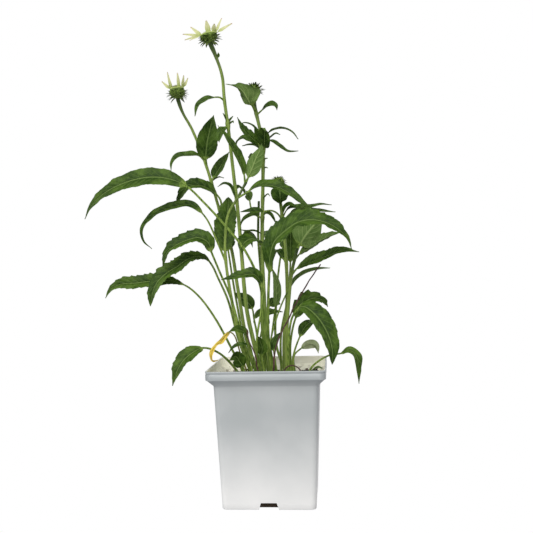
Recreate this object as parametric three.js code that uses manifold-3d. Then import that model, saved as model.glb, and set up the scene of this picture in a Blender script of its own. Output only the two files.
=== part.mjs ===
// A purple coneflower plant growing in a square nursery pot.
// Millimetres, +Z up. The origin is the middle of the pot's underside, and the pot's front faces -Y.
import * as THREE from "three";
import Module from "manifold-3d";

const wasm = await Module();
wasm.setup();

// Driving dimensions of the pot
const RIM_WIDTH = 152;
const POT_HEIGHT = 178;
const FOOT_WIDTH = 120;
const WALL = 1.8;
const RIM_BAND = 12;
const SHOULDER_DROP = 8;
const SHOULDER_INSET = 9;
const BODY_TOP = POT_HEIGHT - RIM_BAND - SHOULDER_DROP;
const CORNER_RADIUS = 9;
const FLOOR = 2.5;
const NOTCH = { width: 25, below: 26.4, topWidth: 20, height: 8.8, depth: 20 };
const SLOT = { width: 12, low: 1.5, high: 6.5 };

// Driving dimensions of the soil and of what stands in it
const SOIL_TOP = 158;
const SOIL_RELIEF = 1.6;
const SOIL_CORNER = 9;
const SUNK = 14;
const CLEARANCE = 0.35;

// Driving dimensions of the stalks and leaves
const EDGE_THICKNESS = 0.8;
const RIB_THICKNESS = 1.1;
const TIP_HALF_WIDTH = 0.4;
const OUTLINE_SWELL = 0.65;
const OUTLINE_TAPER = 1.1;
const WAVES = 2.5;
const LEAF_STALK = { least: 1, share: 0.034 };
const STEM_SIDES = 6;
const STALK_STEP = 34;
const NECK_REACH = 24;
const BLADE_STEP = 13;
const FRAME_STEPS = 48;

// Driving dimensions of the heads
const BRACT_SUNK = 1;
const DISC_FLORET = 0.9;
const HEAD_GAP = 0.4;

// Stems. Each route runs from the soil to the top, and a leaf leaves its stem at the height "from".
// neck is a stem's radius under its head. blade is the share of a leaf's length that is bare stalk,
// width is its widest, fold is how far each half lifts from flat in degrees, teeth is the height of
// its cut edge, wave is how far its edges wave, twist is how far it turns from end to end in
// degrees, swell and taper are the powers by which its outline widens and narrows where they aren't
// the usual ones, and face is the way that its upper side looks at mid-blade.
const STEMS = {
  flower_stem_tall: {
    foot: 2.9, top: 1.9, neck: 3.3,
    route: [[-10, -6, 158], [-17, -6, 194], [-28, -6, 250], [-33, -8, 324], [-36, -10, 377],
      [-41, -12, 434], [-46, -14, 492], [-50, -16, 529], [-52, -18, 561], [-59, -20, 585],
      [-66, -22, 603]],
    leaves: [
      { from: 585, blade: 0.10, width: 4.5, fold: 30, face: [0.3, -0.7, 0.5],
        route: [[-56, -21, 587], [-56, -22, 591]] },
      { from: 528, blade: 0.26, width: 13, fold: 24, face: [-0.2, -0.7, 0.65],
        route: [[-55, -20, 532], [-64, -26, 531], [-73, -31, 527], [-82, -33, 520], [-87, -34, 506]] },
      { from: 498, blade: 0.10, width: 6, fold: 30, face: [0.5, -0.6, 0.5],
        route: [[-50, -17, 507], [-52, -18, 512]] },
      { from: 498, blade: 0.10, width: 6, fold: 30, face: [-0.5, -0.6, 0.5],
        route: [[-42, -12, 505], [-40, -10, 509]] },
      { from: 496, blade: 0.10, width: 6, fold: 30, face: [0, -0.3, 0.9],
        route: [[-40, -17, 500], [-38, -20, 498]] },
      { from: 496, blade: 0.12, width: 15, fold: 26, face: [-0.2, -0.7, 0.6],
        route: [[-50, -19, 492], [-54, -24, 485], [-57, -27, 472]] },
      { from: 397, blade: 0.12, width: 8, fold: 30, face: [-0.2, -0.6, 0.75],
        route: [[-41, -17, 406], [-45, -21, 415], [-52, -25, 418], [-60, -28, 414]] },
      { from: 410, blade: 0.12, width: 9, fold: 30, face: [0.2, -0.3, 0.9],
        route: [[-35, -6, 415], [-30, 0, 411], [-28, 6, 405]] },
      { from: 341, blade: 0.12, width: 12, fold: 30, face: [0, 0.3, 0.9],
        route: [[-31, 8, 348], [-26, 26, 346], [-23, 42, 335]] },
    ],
  },
  flower_stem_left: {
    foot: 2.6, top: 1.7, neck: 2.7,
    route: [[-15, 10, 158], [-31, 12, 208], [-42, 16, 277], [-50, 18, 333], [-64, 18, 382],
      [-76, 17, 428], [-87, 14, 465], [-100, 10, 499], [-109, 7, 516], [-113, 5, 526],
      [-116, 4, 537]],
    leaves: [
      { from: 454, blade: 0.12, width: 15, fold: 28, face: [-0.2, -0.65, 0.7],
        route: [[-91, 10, 461], [-102, 6, 461], [-117, 2, 459], [-125, 0, 451], [-127, -2, 440]] },
      { from: 447, blade: 0.12, width: 30, fold: 14, face: [0.15, -0.95, -0.1],
        route: [[-81, 11, 460], [-78, 7, 478], [-73, 5, 497], [-68, 6, 514]] },
      { from: 382, blade: 0.27, width: 22, fold: 26, teeth: 1.2, face: [-0.1, -0.75, 0.6],
        route: [[-61, 12, 391], [-63, 6, 402], [-72, 0, 411], [-87, -5, 418], [-103, -10, 416],
          [-113, -13, 403], [-119, -14, 390]] },
      { from: 425, blade: 0.12, width: 4, fold: 30, face: [0, -0.3, 0.9],
        route: [[-71, 24, 430], [-65, 30, 433], [-60, 34, 432]] },
      { from: 426, blade: 0.12, width: 21, fold: 20, face: [-0.55, -0.8, -0.2],
        route: [[-68, 26, 439], [-60, 32, 454], [-52, 36, 468]] },
      { from: 386, blade: 0.12, width: 15, fold: 25, face: [0, 0.3, 0.95],
        route: [[-63, 28, 393], [-58, 42, 391], [-58, 60, 380], [-61, 74, 364]] },
    ],
  },
  bud_stem_middle: {
    foot: 2.8, top: 2.2, neck: 2.6,
    route: [[3, 2, 158], [-3, 4, 209], [-6, 8, 276], [-7, 10, 330], [-5, 10, 391], [-3, 9, 445],
      [-3, 8, 478], [-8, 7, 503], [-12, 7, 524], [-13, 8, 541]],
    leaves: [
      { from: 516, blade: 0.21, width: 38, fold: 32, teeth: 1, swell: 0.8, taper: 2.6,
        face: [0.6, 0.75, 0.2],
        route: [[-14, -2, 523], [-18, -8, 528], [-21, -12, 533], [-25, -14, 540], [-32, -15, 546],
          [-48, -13, 551]] },
      { from: 512, blade: 0.20, width: 13, fold: 18, face: [0, -0.8, 0.6],
        route: [[-2, 4, 518], [5, -1, 522], [12, -6, 523], [18, -10, 520], [19, -11, 514]] },
      { from: 481, blade: 0.12, width: 7.5, fold: 30, face: [0.1, -0.2, 0.95],
        route: [[11, 6, 491], [26, 2, 492], [38, -2, 486], [46, -4, 476]] },
      { from: 477, blade: 0.12, width: 6, fold: 30, face: [-0.1, -0.4, 0.9],
        route: [[7, 2, 480], [16, -2, 485], [22, -4, 483]] },
      { from: 476, blade: 0.12, width: 9, fold: 30, face: [0, -0.5, 0.85],
        route: [[8, 0, 476], [20, -8, 467], [32, -12, 459], [46, -14, 459]] },
      { from: 469, blade: 0.12, width: 16, fold: 22, teeth: 1, face: [0.3, -0.75, 0.6],
        route: [[-12, -2, 476], [-23, -8, 486], [-29, -10, 494], [-34, -10, 507]] },
      { from: 481, blade: 0.12, width: 5, fold: 30, face: [0, -0.2, 0.9],
        route: [[-12, 20, 495], [-21, 28, 504], [-31, 32, 507], [-36, 34, 504]] },
      { from: 463, blade: 0.12, width: 21, fold: 20, face: [-0.1, -0.85, 0.3],
        route: [[1, -3, 473], [2, -12, 483], [3, -22, 489], [5, -29, 484]] },
      { from: 464, blade: 0.12, width: 7, fold: 28, face: [0, -0.4, 0.9],
        route: [[-13, 4, 471], [-21, 3, 472], [-30, 3, 471]] },
      { from: 465, blade: 0.12, width: 14, fold: 26, face: [-0.1, -0.6, 0.8],
        route: [[-18, 20, 479], [-31, 28, 485], [-40, 34, 482], [-43, 38, 473]] },
      { from: 449, blade: 0.12, width: 18, fold: 25, teeth: 1, face: [0, 0.3, 0.95],
        route: [[-11, 30, 459], [-19, 52, 459], [-24, 74, 450], [-25, 90, 438]] },
      { from: 451, blade: 0.10, width: 3, fold: 30, face: [0, -0.3, 0.9],
        route: [[2, 4, 453], [4, 2, 453]] },
      { from: 439, blade: 0.10, width: 3, fold: 30, face: [0, -0.3, 0.9],
        route: [[1, 5, 441], [4, 3, 440]] },
      { from: 399, blade: 0.12, width: 4, fold: 30, face: [0, -0.3, 0.9],
        route: [[-1, 4, 402], [3, 2, 405], [6, 0, 402]] },
      { from: 336, blade: 0.12, width: 28, fold: 20, teeth: 1, face: [-0.15, -0.8, 0.55],
        route: [[-14, -2, 344], [-22, -11, 344], [-29, -18, 338], [-31, -22, 326]] },
      { from: 375, blade: 0.12, width: 8, fold: 25, face: [0.3, -0.6, 0.7],
        route: [[0, 7, 380], [5, 8, 378], [9, 9, 372], [13, 9, 365]] },
      { from: 373, blade: 0.12, width: 10, fold: 30, face: [-0.1, -0.7, 0.7],
        route: [[-17, 10, 378], [-26, 9, 375], [-32, 7, 370], [-35, 5, 364]] },
      { from: 344, blade: 0.12, width: 20, fold: 25, teeth: 1, face: [0, 0.3, 0.95],
        route: [[-3, 34, 352], [3, 60, 355], [13, 86, 349], [17, 104, 337]] },
      { from: 352, blade: 0.12, width: 6, fold: 30, face: [0, -0.2, 1],
        route: [[-15, -2, 356], [-26, -9, 356], [-34, -15, 358]] },
      { from: 469, blade: 0.12, width: 11, fold: 22, face: [-0.3, -0.85, 0.2],
        route: [[-6, 0, 479], [-9, -5, 487], [-12, -9, 494]] },
    ],
  },
  cut_stalk: {
    foot: 1.9, top: 1.6, neck: 1.6,
    route: [[-3, 20, 158], [-11, 26, 220], [-11, 30, 289], [-14, 32, 351], [-12, 32, 398]],
    leaves: [
      { from: 382, blade: 0.59, width: 13, fold: 25, face: [-0.2, -0.9, 0.3],
        route: [[-23, 40, 388], [-26, 46, 400], [-27, 52, 409], [-32, 56, 415]] },
    ],
  },
  bud_stem_right: {
    foot: 2.8, top: 2, neck: 2.4,
    route: [[20, 8, 158], [20, 12, 208], [25, 16, 262], [25, 18, 305], [23, 20, 346], [20, 20, 381],
      [18, 20, 400], [16, 20, 416]],
    leaves: [
      { from: 389, blade: 0.12, width: 26, fold: 16, wave: 1.4, swell: 1.3, taper: 0.5,
        face: [0.1, -0.95, 0.1],
        route: [[19, 12, 396], [19, 7, 403], [19, 5, 415]] },
      { from: 377, blade: 0.12, width: 10, fold: 22, face: [0.2, -0.7, 0.6],
        route: [[25, 14, 386], [31, 9, 391], [40, 6, 389]] },
      { from: 373, blade: 0.12, width: 10, fold: 26, face: [0.1, -0.7, 0.7],
        route: [[29, 14, 385], [43, 10, 387], [60, 6, 386], [74, 4, 389], [88, 2, 388]] },
      { from: 362, blade: 0.12, width: 14, fold: 26, face: [0, 0.35, 0.93],
        route: [[34, 28, 380], [53, 34, 383], [75, 40, 382], [93, 44, 381]] },
      { from: 368, blade: 0.59, width: 13, fold: 26, face: [-0.1, -0.65, 0.75],
        route: [[16, 4, 378], [8, -8, 382], [-1, -14, 381], [-17, -17, 381], [-32, -18, 381]] },
      { from: 310, blade: 0.12, width: 20, fold: 25, teeth: 1, face: [0, 0.3, 0.95],
        route: [[18, 30, 322], [10, 44, 329], [5, 58, 328], [4, 70, 318]] },
    ],
  },
  leafy_shoot_left: {
    foot: 2.3, top: 1.6, neck: 1.6,
    route: [[-22, -4, 158], [-39, -8, 217], [-48, -14, 271], [-53, -18, 315], [-53, -20, 344],
      [-48, -22, 377], [-34, -24, 400], [-23, -24, 419]],
    leaves: [
      { from: 421, blade: 0.12, width: 22, fold: 16, face: [0.25, 0.85, 0.25],
        route: [[-16, -22, 434], [-10, -18, 450], [-4, -14, 463], [-2, -12, 471]] },
      { from: 417, blade: 0.12, width: 17, fold: 26, face: [0.5, -0.6, 0.5],
        route: [[-26, -28, 435], [-35, -34, 456], [-44, -38, 474], [-56, -40, 492]] },
      { from: 399, blade: 0.12, width: 21, fold: 24, face: [0, -0.6, 0.8],
        route: [[-22, -28, 405], [-12, -31, 411], [2, -36, 413], [20, -41, 409], [37, -46, 399],
          [53, -50, 386], [66, -52, 377]] },
      { from: 315, blade: 0.35, width: 16, fold: 28, face: [-0.35, -0.75, 0.55],
        route: [[-64, -22, 344], [-78, -24, 375], [-96, -22, 391], [-119, -20, 390], [-147, -18, 380],
          [-164, -16, 362], [-163, -15, 346], [-153, -14, 335]] },
      { from: 320, blade: 0.12, width: 30, fold: 14, teeth: 1, taper: 0.7, face: [0.05, -0.95, 0.2],
        route: [[-55, -6, 337], [-56, 2, 361], [-52, 6, 383], [-51, 8, 403]] },
    ],
  },
  leafy_shoot_right: {
    foot: 2.6, top: 1.9, neck: 1.9,
    route: [[24, -8, 158], [24, -12, 204], [29, -16, 263], [34, -18, 300], [42, -20, 331]],
    leaves: [
      { from: 329, blade: 0.12, width: 40, fold: 14, teeth: 1, face: [0.15, 0.85, 0.4],
        route: [[45, -14, 336], [53, -8, 348], [61, -3, 358], [69, 2, 368], [76, 7, 376]] },
      { from: 316, blade: 0.12, width: 17, fold: 22, teeth: 1, face: [0, 0.75, 0.65],
        route: [[46, -12, 325], [57, -5, 332], [71, 3, 341], [86, 9, 348], [102, 14, 352]] },
      { from: 296, blade: 0.12, width: 21, fold: 24, teeth: 0.8, face: [0, -0.7, 0.7],
        route: [[43, -26, 306], [60, -34, 312], [82, -42, 320], [102, -48, 326], [121, -54, 324]] },
    ],
  },
};

const BASAL_LEAVES = {
  basal_leaf_01: { blade: 0.64, width: 28, fold: 12, teeth: 0.4, face: [0, -0.85, 0.5],
    route: [[-5, -20, 158], [-4, -26, 225], [-7, -32, 284], [-25, -36, 329], [-54, -38, 367],
      [-78, -38, 394], [-97, -38, 413], [-116, -38, 423], [-141, -38, 428], [-170, -38, 425],
      [-204, -38, 412], [-226, -38, 394], [-236, -38, 376]] },
  basal_leaf_02: { blade: 0.66, width: 26, fold: 22, teeth: 1.8, swell: 0.5, taper: 0.9,
    face: [-0.1, -0.7, 0.7],
    route: [[-19, -16, 158], [-32, -22, 205], [-45, -30, 265], [-60, -36, 305], [-68, -40, 327],
      [-73, -42, 341], [-84, -43, 347], [-97, -44, 345], [-112, -46, 339], [-125, -47, 329],
      [-131, -48, 311]] },
  basal_leaf_03: { blade: 0.58, width: 26, fold: 18, teeth: 2.2, swell: 0.85, taper: 0.8,
    face: [-0.15, -0.75, 0.62],
    route: [[-25, 14, 158], [-42, 10, 209], [-54, 0, 264], [-66, -7, 295], [-72, -11, 310],
      [-80, -16, 321], [-91, -21, 323], [-102, -26, 320], [-115, -30, 311], [-128, -34, 303],
      [-140, -38, 292], [-146, -41, 280], [-150, -43, 260]] },
  basal_leaf_04: { blade: 0.56, width: 22, fold: 18, teeth: 1.4, wave: 1, swell: 1.1,
    face: [-0.05, -0.85, 0.5],
    route: [[-31, -4, 158], [-49, -10, 199], [-70, -14, 241], [-90, -17, 270], [-107, -20, 285],
      [-128, -22, 292], [-152, -23, 292], [-173, -25, 290], [-193, -26, 289], [-206, -27, 283],
      [-214, -28, 271]] },
  basal_leaf_05: { blade: 0.54, width: 24, fold: 18, teeth: 1, wave: 1.2, face: [-0.3, -0.75, 0.6],
    route: [[-32, -22, 158], [-48, -32, 183], [-63, -44, 199], [-79, -54, 206], [-92, -62, 201],
      [-103, -66, 192], [-111, -71, 179], [-117, -74, 161]] },
  basal_leaf_06: { blade: 0.46, width: 38, fold: 20, teeth: 1.6, twist: -70, face: [-0.1, -0.66, 0.74],
    route: [[7, -22, 158], [2, -32, 219], [4, -42, 265], [7, -52, 301], [10, -60, 323],
      [16, -66, 339], [29, -72, 351], [47, -77, 362], [65, -81, 364], [83, -86, 359],
      [97, -89, 350], [106, -91, 340], [111, -92, 327]] },
  basal_leaf_07: { blade: 0.50, width: 31, fold: 18, teeth: 0.6, swell: 0.5, taper: 0.8,
    face: [0.45, -0.75, 0.45],
    route: [[27, -24, 158], [28, -34, 206], [35, -44, 244], [48, -52, 256], [64, -60, 246],
      [78, -66, 225], [84, -70, 205], [84, -72, 185]] },
  basal_leaf_08: { blade: 0.57, width: 24, fold: 20, teeth: 2.8, wave: 2.6, face: [0.2, -0.75, 0.6],
    route: [[30, -6, 158], [29, -6, 203], [37, -6, 239], [48, -4, 258], [62, -2, 264], [73, 0, 261],
      [80, 2, 252]] },
  basal_leaf_09: { blade: 0.54, width: 16, fold: 20, face: [-0.2, -0.8, 0.5],
    route: [[33, -14, 158], [33, -16, 188], [42, -12, 214], [50, -2, 227], [58, 10, 231],
      [67, 22, 225]] },
  basal_leaf_10: { blade: 0.53, width: 14, fold: 18, face: [0.6, -0.65, 0.4],
    route: [[50, -30, 158], [58, -40, 178], [79, -48, 193], [94, -52, 196], [107, -56, 200],
      [115, -58, 192], [116, -60, 177], [117, -60, 159]] },
  basal_leaf_11: { blade: 0.57, width: 13, fold: 20, face: [0.1, 0.97, -0.1],
    route: [[35, 2, 158], [33, 4, 187], [43, 4, 197], [54, 2, 203], [63, -2, 201], [66, -4, 191]] },
  basal_leaf_12: { blade: 0.67, width: 14, fold: 24, face: [0, 0.35, 0.93],
    route: [[9, -12, 158], [3, -14, 204], [11, -10, 237], [22, 2, 265], [30, 6, 279], [38, 10, 290],
      [51, 12, 298], [70, 14, 303], [84, 16, 304]] },
  basal_leaf_13: { blade: 0.72, width: 22, fold: 16, face: [0.1, -0.95, 0.2],
    route: [[14, 24, 158], [14, 36, 212], [23, 50, 260], [27, 58, 295], [28, 62, 313], [28, 64, 330],
      [29, 65, 347], [28, 66, 361], [24, 67, 374]] },
  basal_leaf_14: { blade: 0.68, width: 18, fold: 24, teeth: 0.8, face: [0, -0.75, 0.7],
    route: [[-8, -34, 158], [-12, -46, 208], [-3, -56, 260], [-2, -60, 283], [-11, -64, 298],
      [-25, -66, 298], [-40, -68, 295], [-53, -68, 293]] },
  basal_leaf_15: { blade: 0.73, width: 20, fold: 18, face: [0, -0.9, 0.4],
    route: [[-12, 34, 158], [-19, 48, 198], [-22, 52, 218], [-25, 54, 235], [-27, 55, 248],
      [-34, 56, 258], [-43, 58, 265], [-52, 60, 271]] },
  basal_leaf_16: { blade: 0.64, width: 12, fold: 18, face: [0.2, 0.9, 0.1],
    route: [[11, 10, 158], [2, 6, 195], [6, 0, 229], [10, -6, 252], [13, -10, 272], [12, -12, 290],
      [7, -12, 307]] },
  basal_leaf_17: { blade: 0.86, width: 18, fold: 18, face: [-0.1, -0.75, 0.6],
    route: [[6, 36, 158], [-10, 50, 197], [-10, 60, 224], [-8, 64, 243], [-3, 66, 251], [4, 68, 255],
      [12, 68, 253]] },
  basal_leaf_18: { blade: 0.65, width: 15, fold: 22, teeth: 0.8, face: [0, -0.7, 0.7],
    route: [[-3, 32, 158], [-19, 40, 205], [-21, 43, 222], [-24, 44, 234], [-14, 43, 242],
      [-1, 43, 243], [9, 42, 244], [17, 40, 244]] },
  basal_leaf_19: { blade: 0.66, width: 14, fold: 24, face: [-0.1, -0.7, 0.65],
    route: [[-14, -26, 158], [-21, -34, 200], [-24, -40, 216], [-29, -44, 225], [-38, -48, 228],
      [-47, -52, 226]] },
  basal_leaf_20: { blade: 0.63, width: 8, fold: 24, face: [-0.1, -0.6, 0.7],
    route: [[-22, -30, 158], [-19, -36, 195], [-23, -39, 207], [-33, -42, 208], [-42, -44, 205],
      [-49, -45, 198]] },
  basal_leaf_21: { blade: 0.42, width: 20, fold: 20, face: [0.1, -0.85, 0.4],
    route: [[-28, -36, 158], [-31, -40, 179], [-35, -42, 186], [-40, -46, 194], [-47, -52, 189]] },
  basal_leaf_22: { blade: 0.54, width: 15, fold: 18, face: [-0.1, -0.85, 0.4],
    route: [[-2, -30, 158], [-7, -34, 192], [-6, -36, 204], [-9, -38, 213], [-13, -41, 220]] },
  basal_leaf_23: { blade: 0.58, width: 10, fold: 20, face: [0, -0.7, 0.6],
    route: [[14, -28, 158], [9, -27, 191], [8, -25, 204], [11, -23, 213], [19, -21, 222]] },
  basal_leaf_24: { blade: 0.79, width: 26, fold: 20, teeth: 1.5, face: [0, 0.3, 0.95],
    route: [[-20, 32, 158], [-38, 46, 198], [-48, 60, 246], [-57, 72, 296], [-63, 82, 332],
      [-69, 96, 355], [-75, 112, 369]] },
  basal_leaf_25: { blade: 0.78, width: 28, fold: 20, teeth: 1.5, face: [0, 0.3, 0.95],
    route: [[20, 34, 158], [6, 52, 197], [5, 72, 245], [8, 92, 294], [15, 108, 334], [28, 124, 357],
      [44, 138, 365]] },
  basal_leaf_26: { blade: 0.70, width: 13, fold: 20, teeth: 0.6, face: [0, 0.3, 0.95],
    route: [[-2, 42, 158], [-17, 56, 197], [-16, 72, 216], [-13, 90, 228], [-13, 106, 225],
      [-13, 122, 209]] },
  basal_leaf_27: { blade: 0.49, width: 7, fold: 20, face: [0, -0.4, 0.9],
    route: [[44, -40, 158], [57, -48, 173], [65, -54, 179], [72, -60, 179]] },
};

const WITHERED_LEAVES = {
  withered_leaf: { blade: 0.56, width: 7, fold: 34, wave: 1.4, twist: 150, swell: 0.3, taper: 0.6,
    face: [0, -0.8, 0.6],
    route: [[-24, -22, 158], [-36, -28, 197], [-39, -30, 209], [-42, -33, 219], [-47, -37, 224],
      [-53, -42, 219], [-58, -47, 212], [-63, -51, 209], [-67, -55, 203], [-69, -58, 196],
      [-67, -60, 190], [-60, -61, 191]] },
};

// Dry stalks and a loop of root. Each is a thin round tube along its route.
const DRY_STALKS = {
  dead_stalk_right: { foot: 1.1, top: 0.8,
    route: [[8, -40, 158], [9, -42, 182], [14, -36, 210], [27, -24, 236], [38, -20, 258],
      [66, -14, 302], [72, -12, 309]] },
  dead_stalk_left: { foot: 0.9, top: 0.7,
    route: [[-8, -44, 158], [-12, -44, 178], [-15, -46, 198], [-22, -46, 214], [-24, -46, 228]] },
  root_loop: { foot: 0.8, top: 0.8,
    route: [[20, -52, 158], [21, -54, 170], [27, -56, 180], [35, -56, 182], [42, -55, 179],
      [46, -53, 168], [47, -52, 157]] },
};

// Heads. A head's lean is the way its axis points. Its body is turned about that axis, as [radius,
// height] from the stem up. Bracts stand in rows, each from "rise" degrees above level at its root
// to "fall" at its tip.
const HEADS = {
  flower_head_tall: { stem: "flower_stem_tall", lean: [-0.19, 0.03, 1],
    body: [[1.8, 0], [3.8, 1], [7.6, 3], [10, 5.6], [11.4, 8.4], [11, 10.4]],
    bracts: [
      { count: 7, radius: 6.4, height: 2.6, length: 9.5, width: 3.6, rise: -10, fall: -48 },
      { count: 8, radius: 9.4, height: 5, length: 8.5, width: 3.8, rise: 0, fall: -30 },
      { count: 9, radius: 11, height: 7.6, length: 5.5, width: 4.2, rise: 18, fall: -8 },
    ] },
  flower_head_left: { stem: "flower_stem_left", lean: [-0.08, 0, 1],
    body: [[1.6, 0], [3.4, 1], [7.2, 3], [9.8, 6.5], [10.6, 10], [9.6, 13]],
    bracts: [
      { count: 7, radius: 5.8, height: 2.2, length: 9.5, width: 3.4, rise: -16, fall: -56 },
      { count: 8, radius: 9, height: 5.6, length: 9, width: 3.6, rise: 6, fall: -32 },
      { count: 9, radius: 10.2, height: 8.8, length: 5.5, width: 4.4, rise: 40, fall: 8 },
    ] },
  bud_middle: { stem: "bud_stem_middle", lean: [0.14, 0.1, 1],
    body: [[1.4, 0], [2.8, 0.8], [5.6, 2], [7.4, 5], [7, 8.6], [4.6, 11]],
    bracts: [
      { count: 7, radius: 5, height: 1.8, length: 11, width: 3.4, rise: 12, fall: -22 },
      { count: 7, radius: 6.8, height: 4.6, length: 10, width: 3.4, rise: 30, fall: -4 },
      { count: 7, radius: 6.2, height: 8, length: 7, width: 3, rise: 60, fall: 30 },
      { count: 5, radius: 3.2, height: 10.2, length: 5.5, width: 2.6, rise: 82, fall: 58 },
    ] },
  bud_right: { stem: "bud_stem_right", lean: [0.12, 0.05, 1],
    body: [[1.4, 0], [2.8, 0.8], [5.8, 2], [8, 5], [7.4, 9], [4.4, 11.6]],
    bracts: [
      { count: 7, radius: 5, height: 1.6, length: 9, width: 2.8, rise: 4, fall: -26 },
      { count: 8, radius: 7.2, height: 4.6, length: 7, width: 2.6, rise: 28, fall: 0 },
      { count: 8, radius: 6.6, height: 8.4, length: 5.5, width: 2.4, rise: 58, fall: 30 },
      { count: 5, radius: 3.4, height: 10.8, length: 4.5, width: 2.2, rise: 80, fall: 62 },
    ] },
};

// Blooms. The petals stand on a collar round the disc, each as [azimuth, length, width, rise, roll],
// with azimuth 0 to the right and 90 to the back. A petal bends down by "bend" degrees to its tip,
// and turns by its roll about its own length.
const COLLAR_THICKNESS = 1.3;
const BLOOMS = {
  tall: { head: "flower_head_tall", discRadius: 7.4, discHeight: 2.4, bend: 10,
    petals: [[6, 26, 4.6, 23, 70], [18, 24, 5.2, 64, 40], [92, 14, 6, 92, 0], [162, 23, 5.4, 60, -50],
      [178, 26, 4.2, 26, -70], [191, 23, 4, 2, -65], [206, 19, 3.2, -15, -40], [280, 16, 6.4, 90, 0],
      [325, 11, 6.6, 70, -20]] },
  left: { head: "flower_head_left", discRadius: 7, discHeight: 3.2, bend: -6,
    petals: [[7, 16, 4.2, 55, 65], [340, 17, 3.8, 72, -40], [300, 20, 4, 86, -15], [160, 18, 4, 79, -50],
      [174, 18, 4, 46, -65], [216, 23, 4, 79, 30]] },
};
const PETAL = { keeled: false, thickness: 0.7, profile: [[0, 0.85], [0.35, 1], [0.75, 0.72], [1, 0.4]] };
const BRACT = { keeled: true, thickness: 1, profile: [[0, 1], [0.5, 0.85], [1, 0.25]] };
const HEAD_SIDES = 10;
const ROLLED = 0.35;

// Finishes: colour and roughness
const FINISHES = {
  white_plastic: [0xeceae4, 0.45],
  soil: [0x2e241c, 0.95],
  stem: [0x7c9a4c, 0.6],
  leaf: [0x46702f, 0.6],
  bract: [0x3d5c26, 0.65],
  petal: [0xd6d9a6, 0.55],
  disc: [0x7b8a3a, 0.7],
  dry: [0x6a5842, 0.85],
  withered: [0xb9a24a, 0.8],
};

const { degToRad, lerp, smoothstep, clamp } = THREE.MathUtils;
const vector = (point) => new THREE.Vector3(...point);
const UPRIGHT = vector([0, 0, 1]);

/** Joins matching rings of points, first to last, into one closed solid with flat ends. */
function skin(rings, leansForward = () => true) {
  const count = rings[0].length;
  const triangles = [];
  for (let ring = 0; ring < rings.length - 1; ring += 1) {
    for (let side = 0; side < count; side += 1) {
      const [a, b] = [ring * count + side, ring * count + ((side + 1) % count)];
      const [c, d] = [b + count, a + count];
      triangles.push(...(leansForward(side) ? [a, b, c, a, c, d] : [a, b, d, b, c, d]));
    }
  }
  const last = (rings.length - 1) * count;
  for (let side = 1; side < count - 1; side += 1) {
    triangles.push(0, side + 1, side, last, last + side, last + side + 1);
  }
  return new wasm.Manifold(new wasm.Mesh({
    numProp: 3,
    vertProperties: new Float32Array(rings.flat().flatMap((point) => point.toArray())),
    triVerts: new Uint32Array(triangles),
  }));
}

/** A solid's surface as three.js geometry. */
function geometryOf(solid) {
  const { vertProperties, triVerts, numProp } = solid.getMesh();
  const interleaved = new THREE.InterleavedBuffer(vertProperties, numProp);
  const geometry = new THREE.BufferGeometry();
  geometry.setAttribute("position", new THREE.InterleavedBufferAttribute(interleaved, 3, 0));
  geometry.setIndex([...triVerts]);
  geometry.computeVertexNormals();
  return geometry;
}

/** A named mesh of a solid in one of the finishes. */
function piece(name, solid, finish) {
  const [color, roughness] = FINISHES[finish];
  const mesh = new THREE.Mesh(
    geometryOf(solid), new THREE.MeshStandardMaterial({ color, roughness, metalness: 0 }));
  mesh.name = name;
  return mesh;
}

/** A smooth route. A frame of it holds a centre, the way along, and an up that doesn't turn round it. */
class Route {
  constructor(points, facing = [0, -1, 0.01], at = 0, twist = 0) {
    this.curve = new THREE.CatmullRomCurve3(points);
    this.length = this.curve.getLength();
    const steps = Array.from({ length: FRAME_STEPS + 1 }, (_, step) => step);
    const along = steps.map((step) => this.curve.getTangentAt(step / FRAME_STEPS));
    const start = Math.round(at * FRAME_STEPS);
    this.up = [];
    this.up[start] = vector(facing).projectOnPlane(along[start]).normalize();
    for (const step of [...steps.slice(start + 1), ...steps.slice(0, start).reverse()]) {
      const before = this.up[step > start ? step - 1 : step + 1];
      this.up[step] = before.clone().projectOnPlane(along[step]).normalize();
    }
    for (const step of steps) {
      this.up[step].applyAxisAngle(along[step], degToRad(twist) * (step / FRAME_STEPS - at));
    }
  }

  frame(share) {
    const place = share * FRAME_STEPS;
    const step = Math.min(Math.floor(place), FRAME_STEPS - 1);
    const along = this.curve.getTangentAt(share);
    const up = this.up[step].clone().lerp(this.up[step + 1], place - step);
    up.projectOnPlane(along).normalize();
    return { centre: this.curve.getPointAt(share), along, up };
  }

  /** The point where a rising route passes a height. */
  atHeight(height) {
    let [low, high] = [0, 1];
    for (let halving = 0; halving < 24; halving += 1) {
      const middle = (low + high) / 2;
      if (this.curve.getPointAt(middle).z < height) low = middle;
      else high = middle;
    }
    return this.curve.getPointAt(low);
  }
}

/** The frame of a sunk foot: straight below a route's first frame, turned upright with its up. */
function footFrame({ centre, along, up }) {
  const turn = new THREE.Quaternion().setFromUnitVectors(along, UPRIGHT);
  return {
    centre: centre.clone().addScaledVector(UPRIGHT, -SUNK),
    along: UPRIGHT,
    up: up.clone().applyQuaternion(turn),
  };
}

/** A ring of points in a frame, from corners given as [right, up]. */
function ring({ centre, along, up }, corners) {
  const side = along.clone().cross(up);
  return corners.map(([right, rise]) =>
    centre.clone().addScaledVector(side, right).addScaledVector(up, rise));
}

/** The corners of a regular section. */
function roundSection(radius, sides) {
  return Array.from({ length: sides }, (_, corner) => {
    const angle = (2 * Math.PI * corner) / sides;
    return [-radius * Math.cos(angle), radius * Math.sin(angle)];
  });
}

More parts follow.
